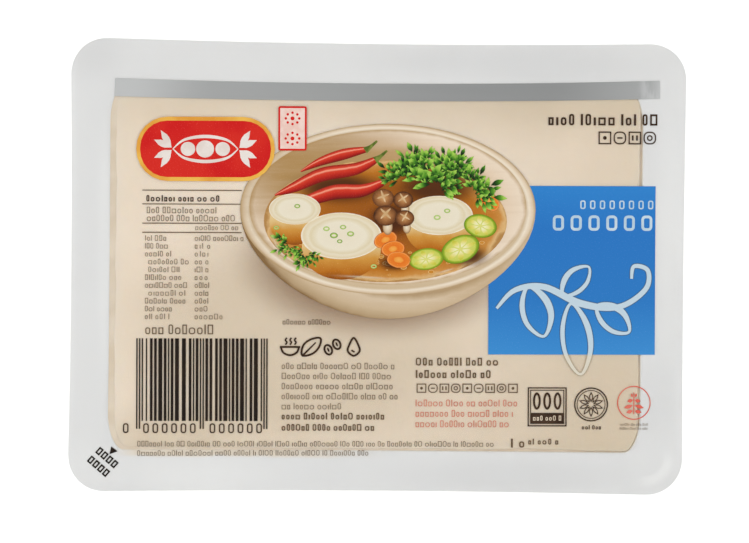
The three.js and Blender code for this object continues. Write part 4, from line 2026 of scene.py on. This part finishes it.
    def build_rounds(self) -> None:
        """Prints thick pale rounds of root, each with its side below its face."""
        rounds = ((-20.0, 13.0, 12.4, 7.4), (14.6, 11.6, 16.4, 9.4), (-8.8, 6.6, 19.4, 11.2))
        side = ShapeInk("round side ink", patch=2.5 * MM, spread=Spread.ACROSS, speckle=0.14, stops=run(
            (0, 142, 72, 8), (0.14, 190, 112, 22), (0.34, 214, 152, 64), (0.52, 230, 196, 132),
            (1, 238, 222, 184),
        ))
        sides = [(x, y - 2.2, width * 0.98, height + 3.6) for x, y, width, height in rounds]
        self.press.ovals("round_sides", sides, 40).press(Level.SIDE, side, "pale_ink", large=True)
        face = ShapeInk("round face ink", patch=3 * MM, speckle=0.12, stops=run(
            (0, 240, 228, 202), (0.6, 242, 232, 208), (0.76, 230, 215, 178), (0.82, 239, 227, 200),
            (0.94, 232, 214, 176), (1, 250, 241, 220),
        ))
        faces = [(x, y + 0.9, width, height) for x, y, width, height in rounds]
        self.press.ovals("round_faces", faces, 40).press(Level.FACE, face, "pale_ink", large=True)

    def build_pods(self) -> None:
        """Prints long red pods at the far left, with their stalks."""
        ink = ShapeInk("pod ink", patch=2.5 * MM, spread=Spread.ACROSS, vary=0.1, speckle=0.12, stops=run(
            (0, 112, 14, 10), (0.3, 186, 32, 20), (0.6, 222, 62, 38), (0.72, 252, 168, 138),
            (0.8, 226, 70, 46), (1, 160, 26, 16),
        ))
        pods = [
            [(-24.8, 17.2, 0.4), (-20.2, 19.1, 2.4), (-13.4, 22.2, 3.3), (-5.4, 23.6, 2.9), (-0.2, 26, 1.5)],
            [(-21.6, 14.9, 0.4), (-16.8, 16, 2.6), (-10.4, 18, 3.5), (-3.8, 18.4, 3), (1.6, 20.6, 1.5)],
            [(-18.6, 22.9, 0.4), (-13.8, 25.3, 2), (-8.2, 27.1, 2.6), (-2.6, 28.3, 1.3)],
        ]
        stencil = self.press.stencil("pods", stacked=True)
        for pod in pods:
            stencil.ribbon(pod)
        stencil.press(Level.POD, ink, "red_ink")
        stencil = self.press.stencil("pod_stalks")
        for pod in pods:
            x, y, _ = pod[-1]
            stencil.ribbon([(x - 0.6, y - 0.3, 1.7), (x + 0.7, y + 0.6, 0.9), (x + 2.3, y + 2.0, 0.5)])
        stalk = Ink("stalk ink", srgb(84, 104, 34), srgb(128, 142, 60), 1.5 * MM)
        stencil.press(Level.SIDE, stalk, "green_ink")

    def build_coins(self) -> None:
        """Prints thin orange slices of root, laid over each other like coins."""
        ink = ShapeInk("orange slice ink", patch=1.2 * MM, vary=0.08, speckle=0.16, stops=run(
            (0, 250, 178, 84), (0.3, 246, 160, 62), (0.42, 236, 120, 32), (0.84, 240, 132, 42),
            (0.93, 250, 164, 84), (1, 178, 72, 14),
        ))
        places = ((1.8, 6.6, 20), (3.6, 4.4, 8), (5.0, 1.8, -8), (26.6, 16.0, -40))
        coins = [(x, y, 5.8, 3.9, turn) for x, y, turn in places]
        self.press.ovals("orange_slices", coins, 28).press(Level.SLICE, ink, "gold_ink")

    def build_greens(self) -> None:
        """Prints sprays of small leaves at the far right and the near left."""
        ink = ShapeInk("leaf ink", patch=1.4 * MM, spread=Spread.ALONG, vary=0.75, speckle=0.35, stops=run(
            (0, 18, 50, 8), (0.3, 46, 98, 20), (0.58, 86, 150, 36), (1, 168, 212, 84),
        ))
        sprays = (
            (10.4, 23.2, 40, 165, 10, 0.95), (17.4, 22.0, 10, 125, 12, 1.0),
            (6.0, 20.2, 35, 170, 13, 1.05), (22.0, 17.6, -35, 95, 13, 1.0),
            (13.6, 18.6, -10, 150, 17, 1.2), (-20.8, 5.6, 130, 320, 9, 0.62),
            (-17.2, 3.8, 170, 350, 9, 0.62),
        )
        stencil = self.press.stencil("greens", stacked=True)
        for x, y, start, end, count, size in sprays:
            for number in range(count):
                turn = start + (end - start) * (number + self.dice.uniform(0.1, 0.9)) / count
                self.draw_frond(stencil, (x, y), turn, size * self.dice.uniform(4.2, 7.4))
        stencil.press(Level.GREEN, ink, "green_ink")

    def draw_frond(self, stencil: Stencil, at: Point, turn: float, length: float) -> None:
        """Draws a stem with small leaves on both sides and one at its tip.

        Args:
            stencil: what it is added to.
            at: where it grows from.
            turn: which way it points, in degrees from the right.
            length: its length.
        """
        ahead = heading(turn)
        for share, side in ((0.3, 1), (0.38, -1), (0.58, 1), (0.64, -1), (0.78, 0)):
            base = Vector(at) + ahead * length * share
            reach = length * self.dice.uniform(0.28, 0.48)
            spread = side * self.dice.uniform(34, 66)
            stencil.leaf(base.x, base.y, reach, reach * self.dice.uniform(0.3, 0.46), turn + spread)

    def build_caps(self) -> None:
        """Prints brown caps, each with a pale cross cut into it, and a few pale stems."""
        caps = (
            (1.2, 16.6, 5.2, 4.4), (6.0, 16.2, 4.8, 4.0), (1.8, 12.4, 5.8, 4.9), (6.4, 11.8, 4.6, 3.9),
        )
        stems = [(x + 0.5, y - 0.55 * height, 0.42 * width, 0.8 * height) for x, y, width, height in caps]
        stem = ShapeInk("stem ink", patch=2 * MM, stops=run(
            (0, 242, 228, 202), (0.7, 216, 186, 146), (1, 146, 106, 68),
        ))
        self.press.ovals("cap_stems", stems, 16).press(Level.STEM, stem, "pale_ink")
        cap = ShapeInk("cap ink", patch=1.1 * MM, vary=0.25, speckle=0.34, stops=run(
            (0, 208, 154, 98), (0.4, 172, 116, 66), (0.78, 126, 76, 38), (1, 66, 36, 16),
        ))
        self.press.ovals("caps", caps, 24).press(Level.CAP, cap, "brown_ink")
        cuts = [
            (x, y + 0.1 * height, 0.6 * width, 0.1 * width, turn + 13 * number)
            for number, (x, y, width, height) in enumerate(caps)
            for turn in (20, 110)
        ]
        cut = Ink("cut ink", srgb(232, 202, 158), srgb(208, 170, 120), 1.5 * MM)
        self.press.ovals("cap_cuts", cuts, 12).press(Level.CUT, cut, "pale_ink")

    def build_slices(self) -> None:
        """Prints yellow-green slices with their segments at the near right."""
        slices = ((19.8, 4.4, 9.6, 6.4, 24), (24.6, 10.0, 8.0, 5.6, -10), (11.6, 2.0, 8.4, 5.2, 8))
        rind = ShapeInk("rind ink", patch=2 * MM, vary=0.06, stops=run(
            (0, 226, 224, 126), (0.78, 206, 212, 92), (0.86, 150, 178, 40), (1, 96, 134, 22),
        ))
        self.press.ovals("slices", slices, 32).press(Level.SLICE, rind, "green_ink", large=True)
        flesh = ShapeInk(
            "segment ink", patch=0.8 * MM, spread=Spread.ALONG, vary=0.3, speckle=0.3,
            stops=run((0, 246, 242, 192), (0.6, 230, 220, 110), (1, 204, 202, 66)),
        )
        stencil = self.press.stencil("slice_segments", stacked=True)
        for x, y, width, height, turn in slices:
            reach = 0.22 * width
            for step in range(7):
                way = 360 * step / 7
                across, along = math.cos(math.radians(way)) * reach, math.sin(math.radians(way)) * reach
                stencil.leaf(x + 0.24 * across, y + 0.24 * along, 1.75 * reach, 0.72 * reach, way)
            self.flatten(stencil, (x, y), height / width, turn)
        stencil.press(Level.SEGMENT, flesh, "pale_ink")

    def flatten(self, stencil: Stencil, at: Point, share: float, turn: float) -> None:
        """Squeezes the shapes about a point to a slice's oval and turns them with it.

        Args:
            stencil: what holds the shapes.
            at: the slice's middle.
            share: its height over its width.
            turn: how far it is turned, in degrees.
        """
        centre = Vector((*at, 0)) * MM
        stencil.select(Kind.FACE, lambda f: (middle(f).xy - centre.xy).length < 3.2 * MM)
        bpy.ops.transform.resize(value=(1, share, 1), center_override=centre)
        stencil.turn(turn, *at)

    def build_rings(self) -> None:
        """Prints thin green rings that are strewn over the largest round and the broth."""
        ink = ShapeInk("ring ink", patch=0.7 * MM, vary=0.4, stops=run(
            (0, 226, 234, 176), (0.8, 166, 196, 90), (1, 84, 132, 34),
        ))
        stencil = self.press.stencil("green_rings")
        for x, y, size in (
            (-12.4, 9.2, 1.6), (-10.6, 7.6, 1.9), (-8.4, 9.6, 1.5), (-6.6, 8.0, 1.7), (-9.2, 6.2, 1.3),
            (-19.4, 14.6, 1.4), (16.6, 13.6, 1.5), (14.2, 12.0, 1.7), (-1.0, 0.2, 1.5), (-24.4, 9.4, 1.4),
        ):
            stencil.oval(x, y, size, 0.72 * size, points=16, line=0.22 * size)
        stencil.press(Level.SLICE, ink, "green_ink")

    def build_glints(self) -> None:
        """Prints soft pale tones where the broth and the bowl's rim catch the light."""
        glints = ((-3.0, -2.4, 24, 1.2, -3), (16.4, -0.8, 9, 1.2, 16), (-24.6, 5.6, 1.6, 8.5, 24))
        tone = SoftTone("glint ink", srgb(255, 234, 194), 0.58, 0.0)
        self.press.ovals("dish_glints", glints, 28).press(Level.GLINT, tone, "pale_ink")


@dataclass
class Studio:
    """The pale floor, the soft lights and the camera overhead."""

    sizes: PackSizes
    aim: Point = (-0.81 * MM, -1.03 * MM)
    distance: float = 599.6 * MM
    lens_mm: float = 120.0
    pitch: float = -0.81
    yaw: float = -1.64
    roll: float = 0.55
    floor_size: float = 4.0
    floor_glow: float = 0.62
    room_glow: float = 0.2
    lamp_height: float = 0.8

    def build(self) -> None:
        """Sets up the floor, world, lights and camera."""
        self.lay_floor()
        self.set_world()
        self.hang_lights()
        self.set_view()
        self.place_camera()

    def lay_floor(self) -> None:
        """Lays a pale floor that glows a little, as a light table does."""
        bpy.ops.object.select_all(action="DESELECT")
        bpy.ops.mesh.primitive_plane_add(size=self.floor_size, location=(0, 0, 0))
        floor = bpy.context.object
        floor.name = "floor"
        graph = Graph("pale floor")
        haze = graph.noise(0.4, 1)
        pale = graph.mix(haze, (0.62, 0.62, 0.62, 1), (0.64, 0.64, 0.64, 1))
        material = graph.principled(
            Base_Color=pale,
            Roughness=0.9,
            Specular_IOR_Level=0.1,
            Emission_Color=(1, 1, 1, 1),
            Emission_Strength=self.floor_glow,
        )
        floor.data.materials.append(material)

    def set_world(self) -> None:
        """Fills the room with an even, weak light."""
        world = bpy.data.worlds.new("room")
        world.use_nodes = True
        inputs = world.node_tree.nodes["Background"].inputs
        inputs["Color"].default_value = (0.96, 0.98, 1, 1)
        inputs["Strength"].default_value = self.room_glow
        bpy.context.scene.world = world

    def hang_lights(self) -> None:
        """Hangs two long softboxes at the sides and two weaker ones before and behind."""
        for x, y, power, size in (
            (-0.75, 0.05, 4.7, 0.7), (0.75, 0.05, 4.1, 0.7), (0.0, -0.8, 2.6, 0.6), (0.0, 0.8, 2.3, 0.6),
        ):
            place = Vector((x, y, self.lamp_height))
            bpy.ops.object.light_add(type="AREA", location=place)
            light = bpy.context.object
            light.data.energy = power
            light.data.shape = "SQUARE"
            light.data.size = size
            light.rotation_euler = (-place).to_track_quat("-Z", "Y").to_euler()

    def set_view(self) -> None:
        """Shows colours as they are, with no film curve."""
        bpy.context.scene.view_settings.view_transform = "Standard"

    def place_camera(self) -> None:
        """Looks down at the film, a little from the left and the near side."""
        bpy.ops.object.camera_add()
        camera = bpy.context.object
        camera.name = "camera"
        camera.data.lens = self.lens_mm
        camera.rotation_mode = "ZXY"
        camera.rotation_euler = [math.radians(turn) for turn in (self.pitch, self.yaw, self.roll)]
        back = camera.rotation_euler.to_matrix() @ Vector((0, 0, self.distance))
        camera.location = Vector((*self.aim, self.sizes.film_top)) + back
        bpy.context.scene.camera = camera


def main() -> None:
    """Builds the pack from the tub up, and the studio round it."""
    sizes = PackSizes.read()
    warp = Warp(sizes)
    tub = Tub(sizes, warp)
    make_piece(tub.build(), TubPlastic(), "frosted_plastic", ["tray"])
    make_piece(Block(sizes, warp, tub).build(), Curd(), "tofu", ["tofu"])
    make_piece(Water(sizes, warp, tub).build(), Whey(), "tofu")
    make_piece(Lid(sizes, warp).build(), ClearFilm(), "clear_film", ["film"])
    press = Press(sizes, warp)
    for part in (Band, Badge, Seal, Panel, SmallPrint, Bars, Marks, TabMark, Dish):
        part(press).build()
        log.info("printed: %s", part.__name__)
    warp.put_away()
    Studio(sizes).build()


if __name__ == "__main__":
    main()
